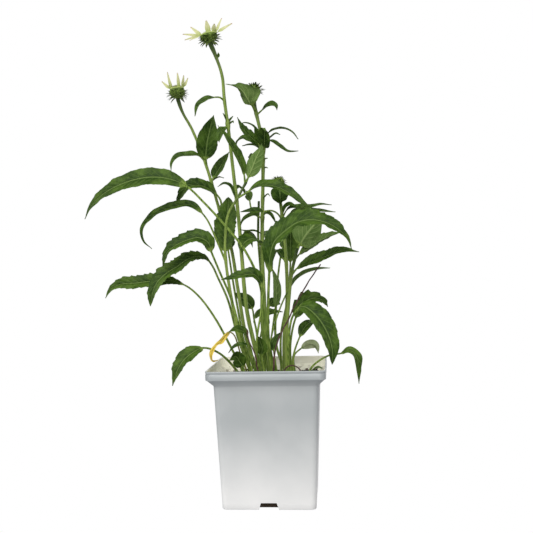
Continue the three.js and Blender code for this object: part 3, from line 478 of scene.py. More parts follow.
@dataclass(frozen=True)
class Leaf:
    """A leaf on its own stalk: a folded blade with a rib, a swelling outline and a cut edge.

    Attributes:
        width: Its widest, across both halves laid flat.
        face: The way that its upper side looks at mid-blade.
        route: The points that it passes, after its root.
        bare: The share of its length that is bare stalk.
        fold: How far each half lifts from flat, in degrees.
        start: The height at which it leaves its stem, or none where it grows from the soil.
        teeth: The height of its cut edge.
        wave: How far its edges wave.
        twist: How far it turns about its route from end to end, in degrees.
        swell: The power by which its outline widens from its foot.
        taper: The power by which it narrows to its tip.
    """

    width: float
    face: Point
    route: tuple[Point, ...]
    bare: float = 0.12
    fold: float = 30.0
    start: float | None = None
    teeth: float = 0.0
    wave: float = 0.0
    twist: float = 0.0
    swell: float = OUTLINE_SWELL
    taper: float = OUTLINE_TAPER

    def outline(self, down: Array) -> Array:
        """Half the width by the share down the blade: a power that swells times one that tapers."""
        peak = self.swell / (self.swell + self.taper)
        return self.width / 2 * (down / peak) ** self.swell * ((1 - down) / (1 - peak)) ** self.taper

    def stations(self, length: float) -> Array:
        """Where its sections stand: far apart along the bare stalk, and close along the blade.

        Args:
            length: The length of its route.

        Returns:
            The sections' shares of that length.
        """
        stalk = max(2, round(length * self.bare / STALK_STEP))
        spread = int(np.clip(round(length * (1 - self.bare) / BLADE_STEP), FEWEST_STEPS, MOST_STEPS))
        return np.concatenate([np.linspace(0, self.bare, stalk, endpoint=False),
                               np.linspace(self.bare, 1, spread + 1)])

    def half_width(self, blade: Blade, least: Array, rng: Draws) -> Array:
        """Half the blade's width along each line: the outline, with teeth and a ripple.

        A tooth rises as a power of the share of its pitch and then drops, so that it leans to the
        tip. It fades fast away from the edge, and the halves are half a tooth apart.

        Args:
            blade: Where the points lie.
            least: The least that the half can be.
            rng: Where the ripples are drawn from.

        Returns:
            The half width at each point.
        """
        half = np.maximum(self.outline(blade.down), least)
        offset = np.where(blade.across > 0, 0.5, 0.0)
        phase = blade.run / TOOTH_PITCH + offset + 0.2 * ripple(blade.run, rng, 30)
        saw = (phase % 1) ** 1.4 - 0.35
        tooth = TOOTH_RISE * self.teeth * blade.swell * saw * np.abs(blade.across) ** 5
        shake = ripple(blade.run + 40 * blade.across, rng, 11)
        return half + tooth + EDGE_RIPPLE * self.width * blade.swell * shake

    def lift(self, blade: Blade, half: Array, veins: Array, opened: Array, rng: Draws) -> Array:
        """How far the middle of the skin stands above the route.

        Each half rises to its edge in a shallow arch. The edge waves and flutters, and the skin is
        quilted: it sinks in a cosine at each side vein.

        Args:
            blade: Where the points lie.
            half: Half the width at each.
            veins: The count of side veins at each.
            opened: How far each station has turned from stalk into blade.
            rng: Where the flutter is drawn from.

        Returns:
            The height at each point.
        """
        out = np.abs(blade.out)
        arch = 1.3 * out - 0.3 * out ** 3
        wave = self.wave * np.sin(WAVES * 2 * np.pi * blade.down) * -np.sign(blade.across) * blade.swell
        flutter = EDGE_FLUTTER * self.width * ripple(blade.run + 60 * np.sign(blade.across), rng, 26)
        wave = (wave + flutter * blade.swell) * out ** 2
        quilt = -QUILT_DEPTH * np.cos(2 * np.pi * veins) * np.sin(np.pi * out) * blade.swell
        return half * math.sin(math.radians(self.fold)) * arch * opened + (wave + quilt) * opened

    def surface(self, root: Array | None, seed: int, top: Coat = Coat.LEAF_TOP,
                under: Coat = Coat.LEAF_UNDER) -> Surface:
        """The leaf's skin.

        A row of stations runs along the route. Across each, the stalk's round section turns into the
        blade's thin one, with the rib standing out below it and a channel along the top of the stalk.

        Args:
            root: The point of the stem that it grows from, or none for the soil.
            seed: What its random waves start from.
            top: The coat of its upper side.
            under: The coat of its lower side.

        Returns:
            The closed skin.
        """
        rng = np.random.default_rng(SEED + seed)
        points = np.array(self.route if root is None else (tuple(root), *self.route), float)
        route = Route(points, self.face, (1 + self.bare) / 2, self.twist)
        shares = self.stations(route.length)
        frames = route.frames(shares)
        if root is None:
            frames = frames.with_foot()
            shares = np.concatenate([[0], shares])
        down = np.clip((shares - self.bare) / (1 - self.bare), 0, 1)[:, None]
        columns = SMALL_COLUMNS if self.width < SMALL_WIDTH else BLADE_COLUMNS
        reach = route.length * (1 - self.bare)
        blade = Blade(down, np.linspace(-1, 1, columns)[None], down * reach)
        opened, widened = smoothstep(down, 0, 0.2), smoothstep(down, 0, 0.05)
        thick = STALK_LEAST + STALK_SHARE * self.width
        thick = thick * lerp(1, 0.7, np.minimum(shares / self.bare, 1))[:, None]
        half = self.half_width(blade, lerp(0.87 * thick, TIP_HALF_WIDTH, down), rng)
        out, turn = blade.out, blade.across * np.pi / 2
        veins = blade.run / VEIN_PITCH - VEIN_SLOPE * self.width / 26 * np.abs(out) ** VEIN_CURVE
        middle = self.lift(blade, half, veins, opened, rng)
        right = lerp(thick * np.sin(turn), half * out * math.cos(math.radians(self.fold)), widened)
        skin = BLADE_HALF_THICKNESS * (1 - 0.5 * np.abs(out) ** 2) * np.cos(turn) ** 0.3
        rib = lerp(thick, RIB_DEPTH, smoothstep(down, 0, 0.6))
        ridge = rib * np.exp(-(half * out / (0.5 + rib)) ** 2)
        channel = 1 - 0.4 * np.exp(-(turn / 0.4) ** 2)
        above = middle + lerp(thick * np.cos(turn) * channel, skin, opened)
        below = middle - lerp(thick * np.cos(turn), skin + ridge, opened)
        back = slice(-2, 0, -1)
        right = np.broadcast_to(right, above.shape)
        grid = frames.place(np.hstack([right, right[:, back]]), np.hstack([above, below[:, back]]))
        uv = np.stack([np.hstack([values, values[:, back]]) for values in
                       (np.broadcast_to((out + 1) / 2, above.shape), np.broadcast_to(veins, above.shape))],
                      axis=-1)
        coats = np.concatenate([np.full(columns - 1, top.value), np.full(columns - 1, under.value)])
        opened = np.broadcast_to(opened, (len(shares), len(coats)))
        return closed_tubes(grid[None], coats, uv[None], opened[None], rng.uniform(0, 1))


@dataclass(frozen=True)
class Stalk:
    """A round stalk that narrows from foot to top.

    Attributes:
        foot: Its radius at the foot.
        top: Its radius at the top.
        route: The points that it passes.
        neck: Its radius under its head, if it swells there.
        leaves: The leaves that leave it.
        hairs: How many short hairs stand on it.
    """

    foot: float
    top: float
    route: tuple[Point, ...]
    neck: float | None = None
    leaves: tuple[Leaf, ...] = ()
    hairs: int = 0

    @property
    def path(self) -> Route:
        """The stalk's smooth route."""
        return Route(np.array(self.route, float))

    def radius(self, shares: Array) -> Array:
        """The radius along the stalk: it narrows evenly, and swells smoothly under a head.

        Args:
            shares: Where, as shares of the length.

        Returns:
            The radius at each.
        """
        more = 0 if self.neck is None else self.neck - self.top
        neck = smoothstep(shares, 1 - NECK_REACH / self.path.length, 1)
        return lerp(self.foot, self.top, shares) + more * neck

    def surface(self, seed: int, coat: Coat = Coat.STEM, sides: int = STEM_SIDES, ribs: float = 0.04,
                crook: float = 0.0, end: Coat | None = None) -> Surface:
        """The stalk's skin: rings along the route, ribbed, and swollen where a leaf leaves.

        Args:
            seed: What its random waves start from.
            coat: What it is finished as.
            sides: How many corners each ring has.
            ribs: How far its ribs stand out, as a share of its radius.
            crook: How far its line wanders, as a share of its radius.
            end: The coat of its cut end, if that differs.

        Returns:
            The closed skin.
        """
        rng = np.random.default_rng(SEED + seed)
        path = self.path
        shares = np.linspace(0, 1, max(8, round(path.length / STALK_STEP)) + 1)
        frames = path.frames(shares).with_foot()
        shares = np.concatenate([[0], shares])[:, None]
        radius = self.radius(shares)
        heights = frames.centre[:, 2:]
        for leaf in self.leaves:
            radius = radius * (1 + NODE_SWELLING * np.exp(-((heights - leaf.start) / NODE_REACH) ** 2))
        angle = np.linspace(0, 2 * np.pi, sides, endpoint=False)[None]
        run = shares * path.length
        lines = ribs * np.cos(5 * angle + 0.01 * run)
        drawn = radius * (1 + lines + 0.5 * ribs * ripple(run + 9 * angle, rng, 23))
        wander = crook * radius * ripple(run, rng, 24)
        grid = frames.place(wander - drawn * np.cos(angle), drawn * np.sin(angle) + wander)
        # Painted shade: the top of a stalk under a head is darkened.
        shade = 0.0 if self.neck is None else smoothstep(shares, 1 - NECK_SHADE / path.length, 1)[None]
        skin = closed_tubes(grid[None], np.full(sides, coat.value), opened=shade, tone=rng.uniform(0, 1))
        if end is not None:
            skin.triangle_coats[sides:] = end.value
        return skin

    def hair(self, seed: int) -> Surface:
        """Short stiff hairs, thrown at random over the stalk above the soil.

        Args:
            seed: What the random draws start from.

        Returns:
            The hairs.
        """
        rng = np.random.default_rng(SEED + seed)
        shares = rng.uniform(0.03, 0.99, self.hairs)
        frames = self.path.frames(shares)
        angle = rng.uniform(0, 2 * np.pi, (self.hairs, 1))
        outward = frames.side * np.cos(angle) + frames.up * np.sin(angle)
        base = frames.centre + outward * self.radius(shares)[:, None] * 0.98
        lean = unit(outward + frames.along * rng.uniform(-0.1, 0.5, (self.hairs, 1)))
        return spikes(base, lean, rng.uniform(0.7, 1.5, self.hairs), HAIR_RADIUS, Coat.HAIR)


@dataclass(frozen=True)
class Rays:
    """A ring of bracts or petals that grow outward from a head's axis, all of one kind.

    Attributes:
        azimuth: The way each grows, in degrees.
        radius: How far from the axis each starts.
        height: How far up the axis.
        length: How long each is.
        width: How wide.
        rise: How far above level it starts, in degrees.
        fall: How far above level it ends.
        thickness: Half its thickness at the middle.
        keel: How far its lower rib stands out.
        groove: How deep the two channels along it are.
        notch: How deep the cuts in its tip are.
        pointed: Whether it narrows to a point, and otherwise it is a strap.
        roll: How far each turns about its own length, in degrees.
    """

    azimuth: Array
    radius: Array | float
    height: Array | float
    length: Array
    width: Array
    rise: Array
    fall: Array
    thickness: float
    keel: float = 0.0
    groove: float = 0.0
    notch: float = 0.0
    pointed: bool = True
    roll: Array | float = 0.0

    def breadth(self, share: Array) -> Array:
        """The width along a ray: a bract that tapers by a power, or a strap with narrower ends.

        Args:
            share: Where, as shares of the length.

        Returns:
            The width, as a share of the widest.
        """
        if self.pointed:
            return np.maximum((1 - share ** 1.7) * (0.86 + 0.5 * share), 0.07)
        return lerp(0.85, 1.0, smoothstep(share, 0, 0.35)) * lerp(1.0, 0.36, smoothstep(share, 0.3, 1.05))

    def surface(self, coat: Coat, steps: int, columns: int, tone: Array | float = 0.5) -> Surface:
        """The rays' skins.

        Each follows an arc whose slope turns evenly from rise to fall. Its section is a lens with a
        keel below, two channels, and a tip that is cut back between three teeth.

        Args:
            coat: What they are finished as.
            steps: How many stations each has.
            columns: How many points across each has.
            tone: How light each is.

        Returns:
            The closed skins.
        """
        share = np.linspace(0, 1, steps + 1)[None]
        column = {name: np.reshape(getattr(self, name), (-1, 1))
                  for name in ("azimuth", "radius", "height", "length", "width", "rise", "fall")}
        slope = np.radians(lerp(column["rise"], column["fall"], share))
        gap = np.radians(lerp(column["rise"], column["fall"], (share[:, 1:] + share[:, :-1]) / 2))
        stride = column["length"] / steps
        nought = np.zeros_like(column["azimuth"])
        out = column["radius"] + np.hstack([nought, np.cumsum(np.cos(gap) * stride, axis=1)])
        up = column["height"] + np.hstack([nought, np.cumsum(np.sin(gap) * stride, axis=1)])
        turn = np.radians(column["azimuth"])
        outward = np.stack([np.cos(turn), np.sin(turn), nought], axis=-1)
        side = np.stack([np.sin(turn), -np.cos(turn), nought], axis=-1)
        across = np.linspace(-1, 1, columns)
        lens = 1 - across ** 2
        breadth = column["width"] / 2 * self.breadth(share)
        taper = lerp(1.0, 0.45, share) * self.thickness
        channel = self.groove * np.cos(3 * np.pi * across) * lens
        above = taper[..., None] * lens + channel
        keel = self.keel * (1 - share[..., None]) * (1 - np.abs(across))
        below = -taper[..., None] * lens + channel - keel
        back = slice(-2, 0, -1)
        around = np.concatenate([across, across[back]])
        rise = np.concatenate([above, below[..., back]], axis=-1)
        cut = np.concatenate([np.cos(3 * np.pi * across), np.cos(3 * np.pi * across[back])])
        along = -self.notch * (1 - cut) / 2 * share[..., None] ** 6
        along = along - self.notch * np.abs(around) * share[..., None] ** 6
        heading = outward * np.cos(slope)[..., None] + UPRIGHT * np.sin(slope)[..., None]
        normal = UPRIGHT * np.cos(slope)[..., None] - outward * np.sin(slope)[..., None]
        roll = np.radians(np.reshape(self.roll, (-1, 1)) * smoothstep(share, 0, ROLLED))[..., None]
        side = np.broadcast_to(side, normal.shape)
        side, normal = (side * np.cos(roll) - normal * np.sin(roll),
                        normal * np.cos(roll) + side * np.sin(roll))
        centre = outward * out[..., None] + UPRIGHT * up[..., None]
        points = (centre[:, :, None] + side[:, :, None] * (breadth[..., None] * around)[..., None]
                  + normal[:, :, None] * rise[..., None] + heading[:, :, None] * along[..., None])
        uv = np.stack([np.broadcast_to((around + 1) / 2, rise.shape),
                       np.broadcast_to(share[..., None], rise.shape)], axis=-1)
        return closed_tubes(points, np.full(len(around), coat.value), uv,
                            np.broadcast_to(share[..., None], rise.shape), tone)


def turned_body(profile: Array, sides: int, coat: Coat, relief: float = 0.0) -> Surface:
    """A body turned about the axis, whose radius ripples round it and up it.

    Args:
        profile: Its radius and height, from the bottom up, which a smooth curve joins.
        sides: How many corners each ring has.
        coat: What it is finished as.
        relief: How high the ripples are, as a share of the radius.

    Returns:
        The closed skin.
    """
    smooth = curve_through(profile, 5)
    angle = np.linspace(0, 2 * np.pi, sides, endpoint=False)[None]
    radius = np.maximum(smooth[:, :1], 0.05)
    radius = radius * (1 + relief * np.cos(13 * angle + 3 * smooth[:, 1:]))
    height = np.broadcast_to(smooth[:, 1:], radius.shape)
    grid = np.stack([radius * np.cos(angle), radius * np.sin(angle), height], axis=-1)
    return closed_tubes(grid[None], np.full(sides, coat.value), tone=0.4)


@dataclass(frozen=True)
class Row:
    """A row of bracts round a head.

    Attributes:
        count: How many there are.
        radius: How far from the axis they start.
        height: How far up it.
        length: How long they are.
        width: How wide.
        rise: How far above level they start, in degrees.
        fall: How far above level they end.
    """

    count: int
    radius: float
    height: float
    length: float
    width: float
    rise: float
    fall: float


@dataclass(frozen=True)
class Head:
    """A green head of bracts on top of a stalk.

    Attributes:
        stem: The stalk that it stands on.
        lean: The way that its axis points.
        body: Its turned body, as radius and height.
        rows: Its rows of bracts, from the stalk up.
        pale: Whether its inner bracts end in pale hairs.
    """

    stem: str
    lean: Point
    body: tuple[tuple[float, float], ...]
    rows: tuple[Row, ...]
    pale: bool = False

    def turn(self) -> Array:
        """Leans the upright axis the head's own way, the shortest way round.

        Returns:
            The turning matrix: one, plus the cross product's matrix, plus its square over 1 + cosine.
        """
        axis = unit(np.array(self.lean, float))
        cross = np.cross(UPRIGHT, axis)
        skew = np.array([[0, -cross[2], cross[1]], [cross[2], 0, -cross[0]], [-cross[1], cross[0], 0]])
        return np.eye(3) + skew + skew @ skew / (1 + axis[2])

    def place(self) -> Array:
        """The point where the head's axis starts: the stalk's top, and a hair above it."""
        top = STEMS[self.stem].path.dense[-1]
        return top + unit(np.array(self.lean, float)) * HEAD_GAP

    def surface(self, seed: int) -> Surface:
        """The body with its bracts, each of which goes a little its own way.

        Args:
            seed: What the random draws start from.

        Returns:
            The head's skins.
        """
        rng = np.random.default_rng(SEED + seed)
        parts = [turned_body(np.array(self.body, float), 30, Coat.BODY, 0.03)]
        for number, row in enumerate(self.close_rows()):
            count = row.count
            azimuth = 360 / count * (np.arange(count) + number / 2) + rng.uniform(-9, 9, count)
            rays = Rays(
                azimuth, row.radius - 1, row.height + rng.uniform(-0.5, 0.5, count),
                row.length * rng.uniform(0.8, 1.1, count), row.width * rng.uniform(0.85, 1.15, count),
                row.rise + rng.uniform(-8, 8, count), row.fall + rng.uniform(-16, 12, count), 0.3, keel=0.35)
            parts.append(rays.surface(Coat.BRACT, 8, 5, rng.uniform(0, 1, count)))
        if self.pale:
            parts.append(self.hair(rng))
        return Surface.joined(parts)

    def close_rows(self) -> list[Row]:
        """Closes the ranks.

        Returns:
            The rows, with one more half-way between each two, and every bract a little wider.
        """
        table = np.array([[getattr(row, field.name) for field in fields(Row)] for row in self.rows])
        steps = np.arange(0, len(self.rows) - 0.5, 0.5)
        close = np.stack([np.interp(steps, np.arange(len(self.rows)), column) for column in table.T], -1)
        rows = [Row(*values) for values in close.tolist()]
        return [replace(row, count=round(row.count), width=row.width * WIDER) for row in rows]

    def hair(self, rng: Draws) -> Surface:
        """Pale stiff hairs that stand out of the top of a bud.

        Args:
            rng: Where their ways and lengths are drawn from.

        Returns:
            The hairs.
        """
        count = BUD_HAIRS
        azimuth = rng.uniform(0, 2 * np.pi, count)
        tilt = rng.uniform(0.05, 1.1, count)
        outward = np.stack([np.cos(azimuth) * np.sin(tilt), np.sin(azimuth) * np.sin(tilt), np.cos(tilt)],
                           axis=-1)
        radius, height = self.body[-2]
        base = np.array([0, 0, height * 0.5]) + outward * np.array([radius, radius, height * 0.5]) * 0.96
        return spikes(base, outward, rng.uniform(2.5, 5.0, count), 0.35, Coat.TUFT, 4)


@dataclass(frozen=True)
class Bloom:
    """The petals and disc of an open head.

    Attributes:
        head: The head that they stand on.
        disc_radius: The radius of the disc.
        disc_height: Its height above its rim.
        bend: How far a petal bends down to its tip, in degrees.
        petals: Each petal's azimuth, length, width, rise and roll.
    """

    head: str
    disc_radius: float
    disc_height: float
    bend: float
    petals: tuple[tuple[float, float, float, float, float], ...]

    def petal_surface(self, seed: int) -> Surface:
        """The petals and the collar that they grow from.

        Args:
            seed: What the random draws start from.

        Returns:
            Their skins.
        """
        rng = np.random.default_rng(SEED + seed)
        rim_radius, rim_height = HEADS[self.head].body[-1]
        low, high = rim_height + CLEARANCE, rim_height + CLEARANCE + COLLAR_THICKNESS
        azimuth, length, width, rise, roll = np.array(self.petals, float).T
        width = width * PETAL_SPREAD
        fall = rise - self.bend + rng.uniform(-4, 4, len(rise))
        rays = Rays(azimuth, rim_radius - 1.3, (low + high) / 2, length, width, rise, fall, 0.34,
                    groove=0.16, notch=0.9, pointed=False, roll=roll)
        inner = self.disc_radius + CLEARANCE
        section = np.array([[rim_radius, low], [rim_radius, high], [inner, high], [inner, low]])
        angle = np.linspace(0, 2 * np.pi, 40, endpoint=False)
        collar = np.stack([np.cos(angle)[:, None] * section[:, 0], np.sin(angle)[:, None] * section[:, 0],
                           np.broadcast_to(section[:, 1], (40, 4))], axis=-1)
        return Surface.joined([rays.surface(Coat.PETAL, 22, 13, rng.uniform(0, 1, len(rise))),
                               closed_loop(collar, Coat.TUFT)])

    def disc_surface(self, seed: int) -> Surface:
        """The disc: a dome under florets that stand on a spiral of golden-angle steps.

        Args:
            seed: What the florets' lengths start from.

        Returns:
            The dome and the florets.
        """
        rng = np.random.default_rng(SEED + seed)
        rim_height = HEADS[self.head].body[-1][1]
        base, rim = rim_height + CLEARANCE, rim_height + CLEARANCE + COLLAR_THICKNESS
        tilt = np.radians(np.linspace(4, 90, 8))[:, None]
        dome = np.hstack([self.disc_radius * np.cos(tilt), rim + self.disc_height * np.sin(tilt)])
        profile = np.vstack([[self.disc_radius, base], dome])
        body = turned_body(profile, 24, Coat.DISC)
        count = FLORETS
        number = np.arange(count) + 0.5
        out = np.sqrt(number / count)
        azimuth = number * math.pi * (3 - math.sqrt(5))
        spot = np.stack([np.cos(azimuth) * out * self.disc_radius, np.sin(azimuth) * out * self.disc_radius,
                         rim + self.disc_height * np.sqrt(1 - out ** 2)], axis=-1)
        outward = out * 0.7
        lean = unit(np.stack([np.cos(azimuth) * outward, np.sin(azimuth) * outward, np.ones(count)], -1))
        florets = spikes(spot, lean, rng.uniform(1.2, 2.2, count), 0.42, Coat.DISC, 5, tone=0.9)
        return Surface.joined([body, florets])


def closed_loop(rings: Array, coat: Coat) -> Surface:
    """A ring-shaped tube: each section joins the next, and the last joins the first.

    Args:
        rings: Sections by corners by three.
        coat: What it is finished as.

    Returns:
        The closed skin.
    """
    sections, corners, _ = rings.shape
    section, corner = np.meshgrid(np.arange(sections), np.arange(corners), indexing="ij")
    after, beside = (section + 1) % sections, (corner + 1) % corners
    quads = np.stack([section * corners + corner, after * corners + corner,
                      after * corners + beside, section * corners + beside], axis=-1).reshape(-1, 4)
    count = sections * corners
    return Surface(rings.reshape(-1, 3), quads, np.zeros((0, 3), int), np.zeros((count, 2)),
                   np.zeros(count), np.full(count, 0.5), np.full(len(quads), coat.value), np.zeros(0, int))


def pot_half(height: Array) -> Array:
    """Half the pot's outer width where its wall is straight."""
    return lerp(FOOT_WIDTH / 2, RIM_WIDTH / 2 - SHOULDER_INSET, height / BODY_TOP)


def round_square(half: float, radius: float, height: float, steps: int) -> Array:
    """A level square with a quarter circle at each corner.

    Args:
        half: Half its width.
        radius: The radius of its corners.
        height: Its height.
        steps: How many steps each corner has.

    Returns:
        Its points, one a row.
    """
    quarter = np.repeat(np.arange(4), steps + 1)
    angle = np.pi / 2 * (quarter + np.tile(np.arange(steps + 1) / steps, 4))
    right = np.array([1, -1, -1, 1])[quarter]
    back = np.array([1, 1, -1, -1])[quarter]
    return np.stack([right * (half - radius) + radius * np.cos(angle),
                     back * (half - radius) + radius * np.sin(angle),
                     np.full(len(angle), float(height))], axis=-1)


def finer(ring: Array) -> Array:
    """A closed ring with each of its sides cut into SIDE_STEPS."""
    sides = zip(ring, np.roll(ring, -1, axis=0))
    return np.concatenate([np.linspace(here, there, SIDE_STEPS, endpoint=False) for here, there in sides])


def about_z(angle: float) -> Array:
    """The matrix of a turn about the upright axis."""
    cosine, sine = math.cos(angle), math.sin(angle)
    return np.array([[cosine, -sine, 0], [sine, cosine, 0], [0, 0, 1]])


def bar(outline: tuple[tuple[float, float], ...], start: float, end: float) -> Surface:
    """A straight bar along Y.

    Args:
        outline: Its corners in X and Z.
        start: The depth of its front end.
        end: The depth of its back end.

    Returns:
        The closed skin.
    """
    shape = np.array(outline, float)
    rings = [np.column_stack([shape[:, 0], np.full(len(shape), depth), shape[:, 1]])
             for depth in (start, end)]
    return closed_tubes(np.array(rings)[None], np.full(len(shape), Coat.PLASTIC.value))


@dataclass
class NurseryPot:
    """The thin square pot, with a band at its rim, a shoulder and a drainage notch in each side.

    Attributes:
        corner_steps: How many steps round each corner.
        notch_width: The width of each notch at the foot.
        notch_top: Its width at the top.
        notch_height: Its height.
        notch_depth: How far it runs in under the pot.
        slot: The width of the drain at its end.
        groove: The groove under its lip: how far in and how far down each corner of it is.
    """

    corner_steps: int = 10
    notch_width: float = 25.0
    notch_top: float = 20.0
    notch_height: float = 8.8
    notch_depth: float = 20.0
    slot: float = 12.0
    groove: tuple[tuple[float, float], ...] = ((0, 4.4), (0.6, 3.8), (0.6, 3.0), (0, 2.4))

    def shell(self) -> Surface:
        """The wall: rings up the outside, over a rolled lip and down the inside to the floor.

        Returns:
            The closed skin.
        """
        lip, band = RIM_WIDTH / 2, POT_HEIGHT - RIM_BAND
        shoulder = lip - 1
        slope = unit(np.array([shoulder - pot_half(BODY_TOP), band - BODY_TOP]))
        inward, rise = slope[1] * WALL, slope[0] * WALL
        outside = [(FOOT_WIDTH / 2 - 1.2, 0), (FOOT_WIDTH / 2 - 0.4, 0.25), (pot_half(1.0), 1)]
        outside += [(pot_half(height), height) for height in np.linspace(8, BODY_TOP - 1, 12)]
        outside += [(pot_half(BODY_TOP) + 0.1, BODY_TOP), (pot_half(BODY_TOP) + 0.9, BODY_TOP + 0.9)]
        outside += [(shoulder - 0.8, band - 0.5), (shoulder - 0.1, band - 0.1)]
        outside += [(lip - 0.2, band + 0.4), (lip, band + 1.4)]
        outside += [(lip - drop, POT_HEIGHT - fall) for drop, fall in self.groove]
        roll, round_lip = np.radians(np.linspace(0, 180, 9)), WALL / 2
        over = [(lip - round_lip + round_lip * math.cos(angle),
                 POT_HEIGHT - round_lip + round_lip * math.sin(angle)) for angle in roll]
        inside = [(lip - WALL, band + 2), (shoulder - inward, band + rise)]
        inside += [(pot_half(BODY_TOP) - inward, BODY_TOP + rise)]
        inside += [(pot_half(height) - WALL, height) for height in np.linspace(BODY_TOP - 3, FLOOR + 2, 10)]
        inside += [(pot_half(FLOOR) - WALL - 0.5, FLOOR + 0.5), (pot_half(FLOOR) - WALL - 1.5, FLOOR)]
        rings = [round_square(half, CORNER_RADIUS + (half - lip) * 0.1, height, self.corner_steps)
                 for half, height in outside + over + inside]
        within = [0.0] * len(outside) + np.linspace(0, 1, len(over)).tolist() + [1.0] * len(inside)
        return closed_tubes(np.array(rings)[None], np.full(len(rings[0]), Coat.PLASTIC.value),
                            opened=np.array(within)[None, :, None])

    def pocket(self) -> Surface:
        """The raised pocket in the floor behind a notch, at the pot's front.

        Returns:
            The closed skin.
        """
        reach, top = self.notch_width / 2 + WALL, self.notch_height + WALL
        outline = ((-reach, 0), (-reach, top), (reach, top), (reach, 0))
        return bar(outline, -FOOT_WIDTH / 2 + WALL / 2, -FOOT_WIDTH / 2 + self.notch_depth + WALL)

    def notch(self) -> Surface:
        """The room that is cut out for a notch: narrower at its top than at the foot.

        Returns:
            The closed skin.
        """
        foot, top = self.notch_width / 2 + 0.7, self.notch_top / 2
        outline = ((-foot, -1), (-top, self.notch_height), (top, self.notch_height), (foot, -1))
        return bar(outline, -FOOT_WIDTH / 2 - 2, -FOOT_WIDTH / 2 + self.notch_depth)

    def drain(self) -> Surface:
        """The room that is cut out for the slot at a notch's end."""
        half, back = self.slot / 2, -FOOT_WIDTH / 2 + self.notch_depth
        return bar(((-half, 1.5), (-half, 6.5), (half, 6.5), (half, 1.5)), back - 1, back + 4)

    def build(self, coats: dict[Coat, Material]) -> None:
        """Makes the pot: the shell, with pockets joined and notches cut at each side.

        Args:
            coats: The material of each coat.
        """
        pot = make_object("nursery_pot", self.shell(), coats)
        for operation, shapes in (("UNION", [self.pocket()]), ("DIFFERENCE", [self.notch(), self.drain()])):
            for quarter in range(4):
                for shape in shapes:
                    placed = shape.turned(about_z(quarter * math.pi / 2), np.zeros(3))
                    combine(pot, make_object("cutter", placed, coats), operation)
        finish_object(pot, "pot_plastic", ("pot",))


def relief(x: Array, y: Array) -> Array:
    """The lie of the soil's surface: two crossed waves."""
    return SOIL_RELIEF * (np.sin(0.13 * x + 0.4) * np.cos(0.11 * y) + 0.5 * np.sin(0.31 * x - 0.23 * y + 1))


@dataclass(frozen=True)
class Grains:
    """Loose grains of one kind.

    Attributes:
        count: How many there are.
        seed: What their random draws start from.
        least: The least length, breadth and height.
        greatest: The greatest.
        coat: What they are finished as.
        flat: How nearly level they lie, from 0 to 1.
    """

    count: int
    seed: int
    least: Point
    greatest: Point
    coat: Coat
    flat: float


